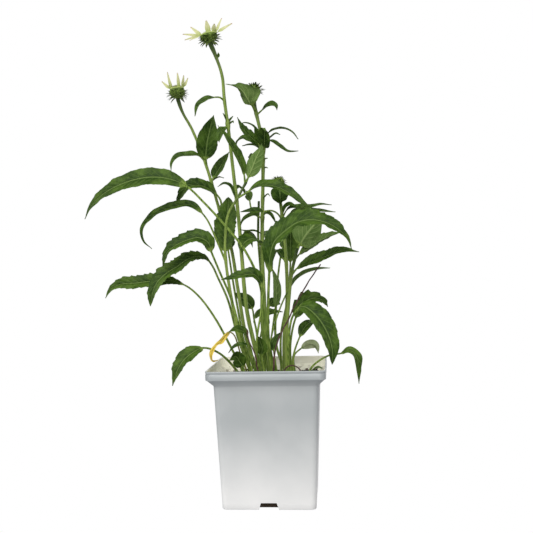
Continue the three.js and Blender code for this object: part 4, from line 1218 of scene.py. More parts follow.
@dataclass
class PottingSoil:
    """The soil that fills the pot, with bark, perlite and crumbs on top.

    Attributes:
        rings: How many rings its surface has from edge to middle.
        corner_steps: How many steps round each corner.
        crumbs: The crumbs that lie on it.
        bark: The chips of bark.
        perlite: The beads of perlite.
    """

    rings: int = 64
    corner_steps: int = 12
    crumbs: Grains = Grains(1500, 11, (0.8, 0.8, 0.6), (2.6, 2.2, 1.8), Coat.SOIL, 0.2)
    bark: Grains = Grains(420, 12, (3, 1.2, 0.6), (9, 3.4, 1.6), Coat.BARK, 0.6)
    perlite: Grains = Grains(170, 13, (1.2, 1.2, 1), (3, 2.8, 2.4), Coat.PERLITE, 0.2)

    def lumps(self, x: Array, y: Array) -> Array:
        """Random lumps: sines that run every way, the finer the lower.

        Args:
            x: The places, across the pot.
            y: The places, from front to back.

        Returns:
            The lumps' height at each.
        """
        rng = np.random.default_rng(SEED + LUMP_SEED)
        total = np.zeros_like(x)
        for _ in range(LUMP_LAYERS):
            pitch, way, phase = rng.uniform(4, 22), rng.uniform(0, np.pi), rng.uniform(0, 2 * np.pi)
            run = x * np.cos(way) + y * np.sin(way)
            total = total + 0.02 * pitch * np.sin(2 * np.pi / pitch * run + phase)
        return total

    def height(self, x: Array, y: Array) -> Array:
        """The height of the surface."""
        return SOIL_TOP + relief(x, y) + self.lumps(x, y)

    def body(self) -> Surface:
        """The body: the pot's inside up to the surface, which closes in rings on its middle.

        Returns:
            The closed skin.
        """
        inset = WALL + CLEARANCE
        foot, edge = pot_half(FLOOR) - inset, pot_half(BODY_TOP) - inset
        rings = [finer(round_square(half, CORNER_RADIUS, height, self.corner_steps))
                 for half, height in ((foot, FLOOR + CLEARANCE), (edge, BODY_TOP - 2))]
        level = finer(round_square(edge, CORNER_RADIUS, 0, self.corner_steps))
        for share in np.linspace(1, 0.012, self.rings):
            x, y = level[:, 0] * share, level[:, 1] * share
            rings.append(np.stack([x, y, self.height(x, y)], axis=-1))
        return closed_tubes(np.array(rings)[None], np.full(len(level), Coat.SOIL.value), tone=0.3)

    def scattered(self, count: int, rng: Draws) -> Array:
        """Random places on the surface, inside the pot's wall.

        Args:
            count: How many.
            rng: Where they are drawn from.

        Returns:
            The places, one a row.
        """
        edge = pot_half(BODY_TOP) - WALL - 3
        flat = rng.uniform(-edge, edge, (count, 2))
        return np.column_stack([flat, self.height(flat[:, 0], flat[:, 1])])

    def loose(self, grains: Grains) -> Surface:
        """Loose grains: boxes with shaken corners, each turned its own way and lying on the surface.

        Args:
            grains: Their kind.

        Returns:
            The grains as one surface.
        """
        rng = np.random.default_rng(SEED + grains.seed)
        count, tilt = grains.count, 0.6 * (1 - grains.flat)
        place = self.scattered(count, rng)
        size = rng.uniform(grains.least, grains.greatest, (count, 3))
        corners = np.array([[-1, -1, -1], [-1, 1, -1], [1, 1, -1], [1, -1, -1],
                            [-1, -1, 1], [-1, 1, 1], [1, 1, 1], [1, -1, 1]], float) / 2
        shaken = corners * rng.uniform(0.55, 1.1, (count, 8, 3)) * size[:, None]
        yaw = rng.uniform(0, 2 * np.pi, count)
        along = unit(np.column_stack([np.cos(yaw), np.sin(yaw), rng.normal(0, tilt, count)]))
        above = np.column_stack([rng.normal(0, tilt, (count, 2)), np.ones(count)])
        across = unit(np.cross(above, along))
        upward = np.cross(along, across)
        points = (place[:, None] + UPRIGHT * size[:, None, 2:] * 0.3 + along[:, None] * shaken[..., :1]
                  + across[:, None] * shaken[..., 1:2] + upward[:, None] * shaken[..., 2:])
        grid = points.reshape(count, 2, 4, 3)[:, :, ::-1]
        return closed_tubes(grid, np.full(4, grains.coat.value), tone=rng.uniform(0, 1, count))

    def build(self, coats: dict[Coat, Material]) -> None:
        """Makes the soil and what lies on it.

        Args:
            coats: The material of each coat.
        """
        body = Surface.joined([self.body(), self.loose(self.crumbs)])
        finish_object(make_object("soil_body", body, coats), "soil", ("potting_soil",))
        for name, grains in (("bark_chips", self.bark), ("perlite_beads", self.perlite)):
            finish_object(make_object(name, self.loose(grains), coats), "soil")


def make_object(name: str, surface: Surface, coats: dict[Coat, Material]) -> bpy.types.Object:
    """Puts a surface into a mesh object at the origin, in metres, with a material for each coat.

    Args:
        name: The object's name.
        surface: Its shape.
        coats: The material of each coat.

    Returns:
        The object, linked into the scene.
    """
    used = sorted(set(surface.quad_coats.tolist()) | set(surface.triangle_coats.tolist()))
    mesh = bpy.data.meshes.new(name)
    corners = np.concatenate([surface.quads.ravel(), surface.triangles.ravel()]).astype(np.int32)
    sizes = np.repeat([4, 3], [len(surface.quads), len(surface.triangles)])
    starts = (np.cumsum(sizes) - sizes).astype(np.int32)
    mesh.vertices.add(len(surface.points))
    mesh.vertices.foreach_set("co", (surface.points * MM).astype(np.float32).ravel())
    mesh.loops.add(len(corners))
    mesh.loops.foreach_set("vertex_index", corners)
    mesh.polygons.add(len(starts))
    mesh.polygons.foreach_set("loop_start", starts)
    slots = np.searchsorted(used, np.concatenate([surface.quad_coats, surface.triangle_coats]))
    mesh.polygons.foreach_set("material_index", slots.astype(np.int32))
    for code in used:
        mesh.materials.append(coats[Coat(code)])
    mesh.update(calc_edges=True)
    mesh.validate()
    mesh.uv_layers.new(name="UVMap").data.foreach_set("uv", surface.uv[corners].astype(np.float32).ravel())
    for label in ("opened", "tone"):
        values = getattr(surface, label).astype(np.float32)
        mesh.attributes.new(label, "FLOAT", "POINT").data.foreach_set("value", values)
    mesh.shade_smooth()
    mesh.set_sharp_from_angle(angle=SMOOTH_BELOW)
    made = bpy.data.objects.new(name, mesh)
    bpy.context.scene.collection.objects.link(made)
    return made


def combine(target: bpy.types.Object, tool: bpy.types.Object, operation: str) -> None:
    """Joins or cuts one object by another with an exact boolean, and applies it.

    Args:
        target: The object that changes.
        tool: The object that is joined or cut away, and then removed.
        operation: The boolean's name, UNION or DIFFERENCE.
    """
    boolean = target.modifiers.new("boolean", "BOOLEAN")
    boolean.operation = operation
    boolean.solver = "EXACT"
    boolean.object = tool
    evaluated = target.evaluated_get(bpy.context.evaluated_depsgraph_get())
    before = target.data
    target.data = bpy.data.meshes.new_from_object(evaluated)
    target.modifiers.clear()
    target.data.set_sharp_from_angle(angle=SMOOTH_BELOW)
    bpy.data.meshes.remove(before)
    bpy.data.objects.remove(tool)


def finish_object(piece: bpy.types.Object, slot: str, nodes: tuple[str, ...] = ()) -> None:
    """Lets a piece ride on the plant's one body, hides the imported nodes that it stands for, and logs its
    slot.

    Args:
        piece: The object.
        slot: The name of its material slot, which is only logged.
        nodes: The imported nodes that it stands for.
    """
    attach(piece, "root")
    if nodes:
        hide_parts(*nodes)
    LOG.info("%s: %d faces in slot %s", piece.name, len(piece.data.polygons), slot)


# Routes run from the soil to the top, and a leaf leaves its stem at the height "start". The basal
# leaves are in the order of their numbers, from basal_leaf_01.
HAIRS = 220
STEMS: dict[str, Stalk] = {
    "flower_stem_tall": Stalk(foot=2.9, top=1.9, neck=3.3, hairs=HAIRS,
        route=((-10, -6, 158), (-17, -6, 194), (-28, -6, 250), (-33, -8, 324), (-36, -10, 377),
            (-41, -12, 434), (-46, -14, 492), (-50, -16, 529), (-52, -18, 561), (-59, -20, 585),
            (-66, -22, 603)), leaves=(
        Leaf(start=585, bare=0.10, width=4.5, face=(0.3, -0.7, 0.5),
            route=((-56, -21, 587), (-56, -22, 591))),
        Leaf(start=528, bare=0.26, width=13, fold=24, face=(-0.2, -0.7, 0.65),
            route=((-55, -20, 532), (-64, -26, 531), (-73, -31, 527), (-82, -33, 520), (-87, -34, 506))),
        Leaf(start=498, bare=0.10, width=6, face=(0.5, -0.6, 0.5),
            route=((-50, -17, 507), (-52, -18, 512))),
        Leaf(start=498, bare=0.10, width=6, face=(-0.5, -0.6, 0.5),
            route=((-42, -12, 505), (-40, -10, 509))),
        Leaf(start=496, bare=0.10, width=6, face=(0, -0.3, 0.9),
            route=((-40, -17, 500), (-38, -20, 498))),
        Leaf(start=496, width=15, fold=26, face=(-0.2, -0.7, 0.6),
            route=((-50, -19, 492), (-54, -24, 485), (-57, -27, 472))),
        Leaf(start=397, width=8, face=(-0.2, -0.6, 0.75),
            route=((-41, -17, 406), (-45, -21, 415), (-52, -25, 418), (-60, -28, 414))),
        Leaf(start=410, width=9, face=(0.2, -0.3, 0.9),
            route=((-35, -6, 415), (-30, 0, 411), (-28, 6, 405))),
        Leaf(start=341, width=12, face=(0, 0.3, 0.9),
            route=((-31, 8, 348), (-26, 26, 346), (-23, 42, 335))))),
    "flower_stem_left": Stalk(foot=2.6, top=1.7, neck=2.7, hairs=HAIRS,
        route=((-15, 10, 158), (-31, 12, 208), (-42, 16, 277), (-50, 18, 333), (-64, 18, 382),
            (-76, 17, 428), (-87, 14, 465), (-100, 10, 499), (-109, 7, 516), (-113, 5, 526),
            (-116, 4, 537)), leaves=(
        Leaf(start=454, width=15, fold=28, face=(-0.2, -0.65, 0.7),
            route=((-91, 10, 461), (-102, 6, 461), (-117, 2, 459), (-125, 0, 451), (-127, -2, 440))),
        Leaf(start=447, width=30, fold=14, face=(0.15, -0.95, -0.1),
            route=((-81, 11, 460), (-78, 7, 478), (-73, 5, 497), (-68, 6, 514))),
        Leaf(start=382, bare=0.27, width=22, fold=26, teeth=1.2, face=(-0.1, -0.75, 0.6),
            route=((-61, 12, 391), (-63, 6, 402), (-72, 0, 411), (-87, -5, 418), (-103, -10, 416),
                (-113, -13, 403), (-119, -14, 390))),
        Leaf(start=425, width=4, face=(0, -0.3, 0.9),
            route=((-71, 24, 430), (-65, 30, 433), (-60, 34, 432))),
        Leaf(start=426, width=21, fold=20, face=(-0.55, -0.8, -0.2),
            route=((-68, 26, 439), (-60, 32, 454), (-52, 36, 468))),
        Leaf(start=386, width=15, fold=25, face=(0, 0.3, 0.95),
            route=((-63, 28, 393), (-58, 42, 391), (-58, 60, 380), (-61, 74, 364))))),
    "bud_stem_middle": Stalk(foot=2.8, top=2.2, neck=2.6, hairs=HAIRS,
        route=((3, 2, 158), (-3, 4, 209), (-6, 8, 276), (-7, 10, 330), (-5, 10, 391), (-3, 9, 445),
            (-3, 8, 478), (-8, 7, 503), (-12, 7, 524), (-13, 8, 541)), leaves=(
        Leaf(start=516, bare=0.21, width=38, fold=32, teeth=1, swell=0.8, taper=2.6,
            face=(0.6, 0.75, 0.2),
            route=((-14, -2, 523), (-18, -8, 528), (-21, -12, 533), (-25, -14, 540), (-32, -15, 546),
                (-48, -13, 551))),
        Leaf(start=512, bare=0.20, width=13, fold=18, face=(0, -0.8, 0.6),
            route=((-2, 4, 518), (5, -1, 522), (12, -6, 523), (18, -10, 520), (19, -11, 514))),
        Leaf(start=481, width=7.5, face=(0.1, -0.2, 0.95),
            route=((11, 6, 491), (26, 2, 492), (38, -2, 486), (46, -4, 476))),
        Leaf(start=477, width=6, face=(-0.1, -0.4, 0.9),
            route=((7, 2, 480), (16, -2, 485), (22, -4, 483))),
        Leaf(start=476, width=9, face=(0, -0.5, 0.85),
            route=((8, 0, 476), (20, -8, 467), (32, -12, 459), (46, -14, 459))),
        Leaf(start=469, width=16, fold=22, teeth=1, face=(0.3, -0.75, 0.6),
            route=((-12, -2, 476), (-23, -8, 486), (-29, -10, 494), (-34, -10, 507))),
        Leaf(start=481, width=5, face=(0, -0.2, 0.9),
            route=((-12, 20, 495), (-21, 28, 504), (-31, 32, 507), (-36, 34, 504))),
        Leaf(start=463, width=21, fold=20, face=(-0.1, -0.85, 0.3),
            route=((1, -3, 473), (2, -12, 483), (3, -22, 489), (5, -29, 484))),
        Leaf(start=464, width=7, fold=28, face=(0, -0.4, 0.9),
            route=((-13, 4, 471), (-21, 3, 472), (-30, 3, 471))),
        Leaf(start=465, width=14, fold=26, face=(-0.1, -0.6, 0.8),
            route=((-18, 20, 479), (-31, 28, 485), (-40, 34, 482), (-43, 38, 473))),
        Leaf(start=449, width=18, fold=25, teeth=1, face=(0, 0.3, 0.95),
            route=((-11, 30, 459), (-19, 52, 459), (-24, 74, 450), (-25, 90, 438))),
        Leaf(start=451, bare=0.10, width=3, face=(0, -0.3, 0.9), route=((2, 4, 453), (4, 2, 453))),
        Leaf(start=439, bare=0.10, width=3, face=(0, -0.3, 0.9), route=((1, 5, 441), (4, 3, 440))),
        Leaf(start=399, width=4, face=(0, -0.3, 0.9), route=((-1, 4, 402), (3, 2, 405), (6, 0, 402))),
        Leaf(start=336, width=28, fold=20, teeth=1, face=(-0.15, -0.8, 0.55),
            route=((-14, -2, 344), (-22, -11, 344), (-29, -18, 338), (-31, -22, 326))),
        Leaf(start=375, width=8, fold=25, face=(0.3, -0.6, 0.7),
            route=((0, 7, 380), (5, 8, 378), (9, 9, 372), (13, 9, 365))),
        Leaf(start=373, width=10, face=(-0.1, -0.7, 0.7),
            route=((-17, 10, 378), (-26, 9, 375), (-32, 7, 370), (-35, 5, 364))),
        Leaf(start=344, width=20, fold=25, teeth=1, face=(0, 0.3, 0.95),
            route=((-3, 34, 352), (3, 60, 355), (13, 86, 349), (17, 104, 337))),
        Leaf(start=352, width=6, face=(0, -0.2, 1),
            route=((-15, -2, 356), (-26, -9, 356), (-34, -15, 358))),
        Leaf(start=469, width=11, fold=22, face=(-0.3, -0.85, 0.2),
            route=((-6, 0, 479), (-9, -5, 487), (-12, -9, 494))))),
    "cut_stalk": Stalk(foot=1.9, top=1.6, neck=1.6, hairs=HAIRS,
        route=((-3, 20, 158), (-11, 26, 220), (-11, 30, 289), (-14, 32, 351), (-12, 32, 398)), leaves=(
        Leaf(start=382, bare=0.59, width=13, fold=25, face=(-0.2, -0.9, 0.3),
            route=((-23, 40, 388), (-26, 46, 400), (-27, 52, 409), (-32, 56, 415))),)),
    "bud_stem_right": Stalk(foot=2.8, top=2, neck=2.4, hairs=HAIRS,
        route=((20, 8, 158), (20, 12, 208), (25, 16, 262), (25, 18, 305), (23, 20, 346), (20, 20, 381),
            (18, 20, 400), (16, 20, 416)), leaves=(
        Leaf(start=389, width=26, fold=16, wave=1.4, swell=1.3, taper=0.5, face=(0.1, -0.95, 0.1),
            route=((19, 12, 396), (19, 7, 403), (19, 5, 415))),
        Leaf(start=377, width=10, fold=22, face=(0.2, -0.7, 0.6),
            route=((25, 14, 386), (31, 9, 391), (40, 6, 389))),
        Leaf(start=373, width=10, fold=26, face=(0.1, -0.7, 0.7),
            route=((29, 14, 385), (43, 10, 387), (60, 6, 386), (74, 4, 389), (88, 2, 388))),
        Leaf(start=362, width=14, fold=26, face=(0, 0.35, 0.93),
            route=((34, 28, 380), (53, 34, 383), (75, 40, 382), (93, 44, 381))),
        Leaf(start=368, bare=0.59, width=13, fold=26, face=(-0.1, -0.65, 0.75),
            route=((16, 4, 378), (8, -8, 382), (-1, -14, 381), (-17, -17, 381), (-32, -18, 381))),
        Leaf(start=310, width=20, fold=25, teeth=1, face=(0, 0.3, 0.95),
            route=((18, 30, 322), (10, 44, 329), (5, 58, 328), (4, 70, 318))))),
    "leafy_shoot_left": Stalk(foot=2.3, top=1.6, neck=1.6, hairs=HAIRS,
        route=((-22, -4, 158), (-39, -8, 217), (-48, -14, 271), (-53, -18, 315), (-53, -20, 344),
            (-48, -22, 377), (-34, -24, 400), (-23, -24, 419)), leaves=(
        Leaf(start=421, width=22, fold=16, face=(0.25, 0.85, 0.25),
            route=((-16, -22, 434), (-10, -18, 450), (-4, -14, 463), (-2, -12, 471))),
        Leaf(start=417, width=17, fold=26, face=(0.5, -0.6, 0.5),
            route=((-26, -28, 435), (-35, -34, 456), (-44, -38, 474), (-56, -40, 492))),
        Leaf(start=399, width=21, fold=24, face=(0, -0.6, 0.8),
            route=((-22, -28, 405), (-12, -31, 411), (2, -36, 413), (20, -41, 409), (37, -46, 399),
                (53, -50, 386), (66, -52, 377))),
        Leaf(start=315, bare=0.35, width=16, fold=28, face=(-0.35, -0.75, 0.55),
            route=((-64, -22, 344), (-78, -24, 375), (-96, -22, 391), (-119, -20, 390), (-147, -18, 380),
                (-164, -16, 362), (-163, -15, 346), (-153, -14, 335))),
        Leaf(start=320, width=30, fold=14, teeth=1, taper=0.7, face=(0.05, -0.95, 0.2),
            route=((-55, -6, 337), (-56, 2, 361), (-52, 6, 383), (-51, 8, 403))))),
    "leafy_shoot_right": Stalk(foot=2.6, top=1.9, neck=1.9, hairs=HAIRS,
        route=((24, -8, 158), (24, -12, 204), (29, -16, 263), (34, -18, 300), (42, -20, 331)), leaves=(
        Leaf(start=329, width=40, fold=14, teeth=1, face=(0.15, 0.85, 0.4),
            route=((45, -14, 336), (53, -8, 348), (61, -3, 358), (69, 2, 368), (76, 7, 376))),
        Leaf(start=316, width=17, fold=22, teeth=1, face=(0, 0.75, 0.65),
            route=((46, -12, 325), (57, -5, 332), (71, 3, 341), (86, 9, 348), (102, 14, 352))),
        Leaf(start=296, width=21, fold=24, teeth=0.8, face=(0, -0.7, 0.7),
            route=((43, -26, 306), (60, -34, 312), (82, -42, 320), (102, -48, 326), (121, -54, 324))))),
}
BASAL_LEAVES: tuple[Leaf, ...] = (
    Leaf(bare=0.64, width=28, fold=12, teeth=0.4, face=(0, -0.85, 0.5),
        route=((-5, -20, 158), (-4, -26, 225), (-7, -32, 284), (-25, -36, 329), (-54, -38, 367),
            (-78, -38, 394), (-97, -38, 413), (-116, -38, 423), (-141, -38, 428), (-170, -38, 425),
            (-204, -38, 412), (-226, -38, 394), (-236, -38, 376))),
    Leaf(bare=0.66, width=26, fold=22, teeth=1.8, swell=0.5, taper=0.9, face=(-0.1, -0.7, 0.7),
        route=((-19, -16, 158), (-32, -22, 205), (-45, -30, 265), (-60, -36, 305), (-68, -40, 327),
            (-73, -42, 341), (-84, -43, 347), (-97, -44, 345), (-112, -46, 339), (-125, -47, 329),
            (-131, -48, 311))),
    Leaf(bare=0.58, width=26, fold=18, teeth=2.2, swell=0.85, taper=0.8, face=(-0.15, -0.75, 0.62),
        route=((-25, 14, 158), (-42, 10, 209), (-54, 0, 264), (-66, -7, 295), (-72, -11, 310),
            (-80, -16, 321), (-91, -21, 323), (-102, -26, 320), (-115, -30, 311), (-128, -34, 303),
            (-140, -38, 292), (-146, -41, 280), (-150, -43, 260))),
    Leaf(bare=0.56, width=22, fold=18, teeth=1.4, wave=1, swell=1.1, face=(-0.05, -0.85, 0.5),
        route=((-31, -4, 158), (-49, -10, 199), (-70, -14, 241), (-90, -17, 270), (-107, -20, 285),
            (-128, -22, 292), (-152, -23, 292), (-173, -25, 290), (-193, -26, 289), (-206, -27, 283),
            (-214, -28, 271))),
    Leaf(bare=0.54, width=24, fold=18, teeth=1, wave=1.2, face=(-0.3, -0.75, 0.6),
        route=((-32, -22, 158), (-48, -32, 183), (-63, -44, 199), (-79, -54, 206), (-92, -62, 201),
            (-103, -66, 192), (-111, -71, 179), (-117, -74, 161))),
    Leaf(bare=0.46, width=38, fold=20, teeth=1.6, twist=-70, face=(-0.1, -0.66, 0.74),
        route=((7, -22, 158), (2, -32, 219), (4, -42, 265), (7, -52, 301), (10, -60, 323), (16, -66, 339),
            (29, -72, 351), (47, -77, 362), (65, -81, 364), (83, -86, 359), (97, -89, 350),
            (106, -91, 340), (111, -92, 327))),
    Leaf(bare=0.50, width=31, fold=18, teeth=0.6, swell=0.5, taper=0.8, face=(0.45, -0.75, 0.45),
        route=((27, -24, 158), (28, -34, 206), (35, -44, 244), (48, -52, 256), (64, -60, 246),
            (78, -66, 225), (84, -70, 205), (84, -72, 185))),
    Leaf(bare=0.57, width=24, fold=20, teeth=2.8, wave=2.6, face=(0.2, -0.75, 0.6),
        route=((30, -6, 158), (29, -6, 203), (37, -6, 239), (48, -4, 258), (62, -2, 264), (73, 0, 261),
            (80, 2, 252))),
    Leaf(bare=0.54, width=16, fold=20, face=(-0.2, -0.8, 0.5),
        route=((33, -14, 158), (33, -16, 188), (42, -12, 214), (50, -2, 227), (58, 10, 231),
            (67, 22, 225))),
    Leaf(bare=0.53, width=14, fold=18, face=(0.6, -0.65, 0.4),
        route=((50, -30, 158), (58, -40, 178), (79, -48, 193), (94, -52, 196), (107, -56, 200),
            (115, -58, 192), (116, -60, 177), (117, -60, 159))),
    Leaf(bare=0.57, width=13, fold=20, face=(0.1, 0.97, -0.1),
        route=((35, 2, 158), (33, 4, 187), (43, 4, 197), (54, 2, 203), (63, -2, 201), (66, -4, 191))),
    Leaf(bare=0.67, width=14, fold=24, face=(0, 0.35, 0.93),
        route=((9, -12, 158), (3, -14, 204), (11, -10, 237), (22, 2, 265), (30, 6, 279), (38, 10, 290),
            (51, 12, 298), (70, 14, 303), (84, 16, 304))),
    Leaf(bare=0.72, width=22, fold=16, face=(0.1, -0.95, 0.2),
        route=((14, 24, 158), (14, 36, 212), (23, 50, 260), (27, 58, 295), (28, 62, 313), (28, 64, 330),
            (29, 65, 347), (28, 66, 361), (24, 67, 374))),
    Leaf(bare=0.68, width=18, fold=24, teeth=0.8, face=(0, -0.75, 0.7),
        route=((-8, -34, 158), (-12, -46, 208), (-3, -56, 260), (-2, -60, 283), (-11, -64, 298),
            (-25, -66, 298), (-40, -68, 295), (-53, -68, 293))),
    Leaf(bare=0.73, width=20, fold=18, face=(0, -0.9, 0.4),
        route=((-12, 34, 158), (-19, 48, 198), (-22, 52, 218), (-25, 54, 235), (-27, 55, 248),
            (-34, 56, 258), (-43, 58, 265), (-52, 60, 271))),
    Leaf(bare=0.64, width=12, fold=18, face=(0.2, 0.9, 0.1),
        route=((11, 10, 158), (2, 6, 195), (6, 0, 229), (10, -6, 252), (13, -10, 272), (12, -12, 290),
            (7, -12, 307))),
    Leaf(bare=0.86, width=18, fold=18, face=(-0.1, -0.75, 0.6),
        route=((6, 36, 158), (-10, 50, 197), (-10, 60, 224), (-8, 64, 243), (-3, 66, 251), (4, 68, 255),
            (12, 68, 253))),
    Leaf(bare=0.65, width=15, fold=22, teeth=0.8, face=(0, -0.7, 0.7),
        route=((-3, 32, 158), (-19, 40, 205), (-21, 43, 222), (-24, 44, 234), (-14, 43, 242),
            (-1, 43, 243), (9, 42, 244), (17, 40, 244))),
    Leaf(bare=0.66, width=14, fold=24, face=(-0.1, -0.7, 0.65),
        route=((-14, -26, 158), (-21, -34, 200), (-24, -40, 216), (-29, -44, 225), (-38, -48, 228),
            (-47, -52, 226))),
    Leaf(bare=0.63, width=8, fold=24, face=(-0.1, -0.6, 0.7),
        route=((-22, -30, 158), (-19, -36, 195), (-23, -39, 207), (-33, -42, 208), (-42, -44, 205),
            (-49, -45, 198))),
    Leaf(bare=0.42, width=20, fold=20, face=(0.1, -0.85, 0.4),
        route=((-28, -36, 158), (-31, -40, 179), (-35, -42, 186), (-40, -46, 194), (-47, -52, 189))),
    Leaf(bare=0.54, width=15, fold=18, face=(-0.1, -0.85, 0.4),
        route=((-2, -30, 158), (-7, -34, 192), (-6, -36, 204), (-9, -38, 213), (-13, -41, 220))),
    Leaf(bare=0.58, width=10, fold=20, face=(0, -0.7, 0.6),
        route=((14, -28, 158), (9, -27, 191), (8, -25, 204), (11, -23, 213), (19, -21, 222))),
    Leaf(bare=0.79, width=26, fold=20, teeth=1.5, face=(0, 0.3, 0.95),
        route=((-20, 32, 158), (-38, 46, 198), (-48, 60, 246), (-57, 72, 296), (-63, 82, 332),
            (-69, 96, 355), (-75, 112, 369))),
    Leaf(bare=0.78, width=28, fold=20, teeth=1.5, face=(0, 0.3, 0.95),
        route=((20, 34, 158), (6, 52, 197), (5, 72, 245), (8, 92, 294), (15, 108, 334), (28, 124, 357),
            (44, 138, 365))),
    Leaf(bare=0.70, width=13, fold=20, teeth=0.6, face=(0, 0.3, 0.95),
        route=((-2, 42, 158), (-17, 56, 197), (-16, 72, 216), (-13, 90, 228), (-13, 106, 225),
            (-13, 122, 209))),
    Leaf(bare=0.49, width=7, fold=20, face=(0, -0.4, 0.9),
        route=((44, -40, 158), (57, -48, 173), (65, -54, 179), (72, -60, 179))),
)
WITHERED_LEAVES: dict[str, Leaf] = {
    "withered_leaf": Leaf(bare=0.56, width=7, fold=34, wave=1.4, twist=150, swell=0.3, taper=0.6,
        face=(0, -0.8, 0.6),
        route=((-24, -22, 158), (-36, -28, 197), (-39, -30, 209), (-42, -33, 219), (-47, -37, 224),
            (-53, -42, 219), (-58, -47, 212), (-63, -51, 209), (-67, -55, 203), (-69, -58, 196),
            (-67, -60, 190), (-60, -61, 191))),
}
DRY_STALKS: dict[str, Stalk] = {
    "dead_stalk_right": Stalk(foot=1.1, top=0.8,
        route=((8, -40, 158), (9, -42, 182), (14, -36, 210), (27, -24, 236), (38, -20, 258),
            (66, -14, 302), (72, -12, 309))),
    "dead_stalk_left": Stalk(foot=0.9, top=0.7,
        route=((-8, -44, 158), (-12, -44, 178), (-15, -46, 198), (-22, -46, 214), (-24, -46, 228))),
    "root_loop": Stalk(foot=0.8, top=0.8,
        route=((20, -52, 158), (21, -54, 170), (27, -56, 180), (35, -56, 182), (42, -55, 179),
            (46, -53, 168), (47, -52, 157))),
}
HEADS: dict[str, Head] = {
    "flower_head_tall": Head(stem="flower_stem_tall", lean=(-0.19, 0.03, 1),
        body=((1.8, 0), (3.8, 1), (7.6, 3), (10, 5.6), (11.4, 8.4), (11, 10.4)), rows=(
        Row(count=7, radius=6.4, height=2.6, length=9.5, width=3.6, rise=-10, fall=-48),
        Row(count=8, radius=9.4, height=5, length=8.5, width=3.8, rise=0, fall=-30),
        Row(count=9, radius=11, height=7.6, length=5.5, width=4.2, rise=18, fall=-8))),
    "flower_head_left": Head(stem="flower_stem_left", lean=(-0.08, 0, 1),
        body=((1.6, 0), (3.4, 1), (7.2, 3), (9.8, 6.5), (10.6, 10), (9.6, 13)), rows=(
        Row(count=7, radius=5.8, height=2.2, length=9.5, width=3.4, rise=-16, fall=-56),
        Row(count=8, radius=9, height=5.6, length=9, width=3.6, rise=6, fall=-32),
        Row(count=9, radius=10.2, height=8.8, length=5.5, width=4.4, rise=40, fall=8))),
    "bud_middle": Head(stem="bud_stem_middle", lean=(0.14, 0.1, 1),
        body=((1.4, 0), (2.8, 0.8), (5.6, 2), (7.4, 5), (7, 8.6), (4.6, 11)), rows=(
        Row(count=7, radius=5, height=1.8, length=11, width=3.4, rise=12, fall=-22),
        Row(count=7, radius=6.8, height=4.6, length=10, width=3.4, rise=30, fall=-4),
        Row(count=7, radius=6.2, height=8, length=7, width=3, rise=60, fall=30),
        Row(count=5, radius=3.2, height=10.2, length=5.5, width=2.6, rise=82, fall=58))),
    "bud_right": Head(stem="bud_stem_right", lean=(0.12, 0.05, 1),
        body=((1.4, 0), (2.8, 0.8), (5.8, 2), (8, 5), (7.4, 9), (4.4, 11.6)), pale=True, rows=(
        Row(count=7, radius=5, height=1.6, length=9, width=2.8, rise=4, fall=-26),
        Row(count=8, radius=7.2, height=4.6, length=7, width=2.6, rise=28, fall=0),
        Row(count=8, radius=6.6, height=8.4, length=5.5, width=2.4, rise=58, fall=30),
        Row(count=5, radius=3.4, height=10.8, length=4.5, width=2.2, rise=80, fall=62))),
}
BLOOMS: dict[str, Bloom] = {
    "tall": Bloom(head="flower_head_tall", disc_radius=7.4, disc_height=2.4, bend=10,
        petals=((6, 26, 4.6, 23, 70), (18, 24, 5.2, 64, 40), (92, 14, 6, 92, 0), (162, 23, 5.4, 60, -50),
            (178, 26, 4.2, 26, -70), (191, 23, 4, 2, -65), (206, 19, 3.2, -15, -40),
            (280, 16, 6.4, 90, 0), (325, 11, 6.6, 70, -20))),
    "left": Bloom(head="flower_head_left", disc_radius=7, disc_height=3.2, bend=-6,
        petals=((7, 16, 4.2, 55, 65), (340, 17, 3.8, 72, -40), (300, 20, 4, 86, -15),
            (160, 18, 4, 79, -50), (174, 18, 4, 46, -65), (216, 23, 4, 79, 30))),
}


@dataclass(frozen=True)
class Finish:
    """A plain surface of two colours that a noise mixes.

    Attributes:
        dark: The darker colour, linear.
        light: The lighter colour, linear.
        roughness: How rough it is.
        grain: The size of its patches, in millimetres.
        bump: How deep its fine relief is, in millimetres.
        streaks: How much longer its patches are along Z than across.
        specular: How strongly it reflects.
        own: How much of the mixing is each piece's own tone, and not the noise.
    """

    dark: Colour
    light: Colour
    roughness: float = 0.6
    grain: float = 6.0
    bump: float = 0.1
    streaks: float = 1.0
    specular: float = 0.5
    own: float = 0.4


@dataclass(frozen=True)
class Foliage:
    """The colours of one side of a leaf.

    Attributes:
        dark: Its darkest green, linear.
        light: Its lightest green.
        vein: The colour of its veins.
        stalk: The colour of its stalk.
        contrast: How far the side veins show.
        roughness: How rough it is.
    """

    dark: Colour
    light: Colour
    vein: Colour
    stalk: Colour
    contrast: float
    roughness: float


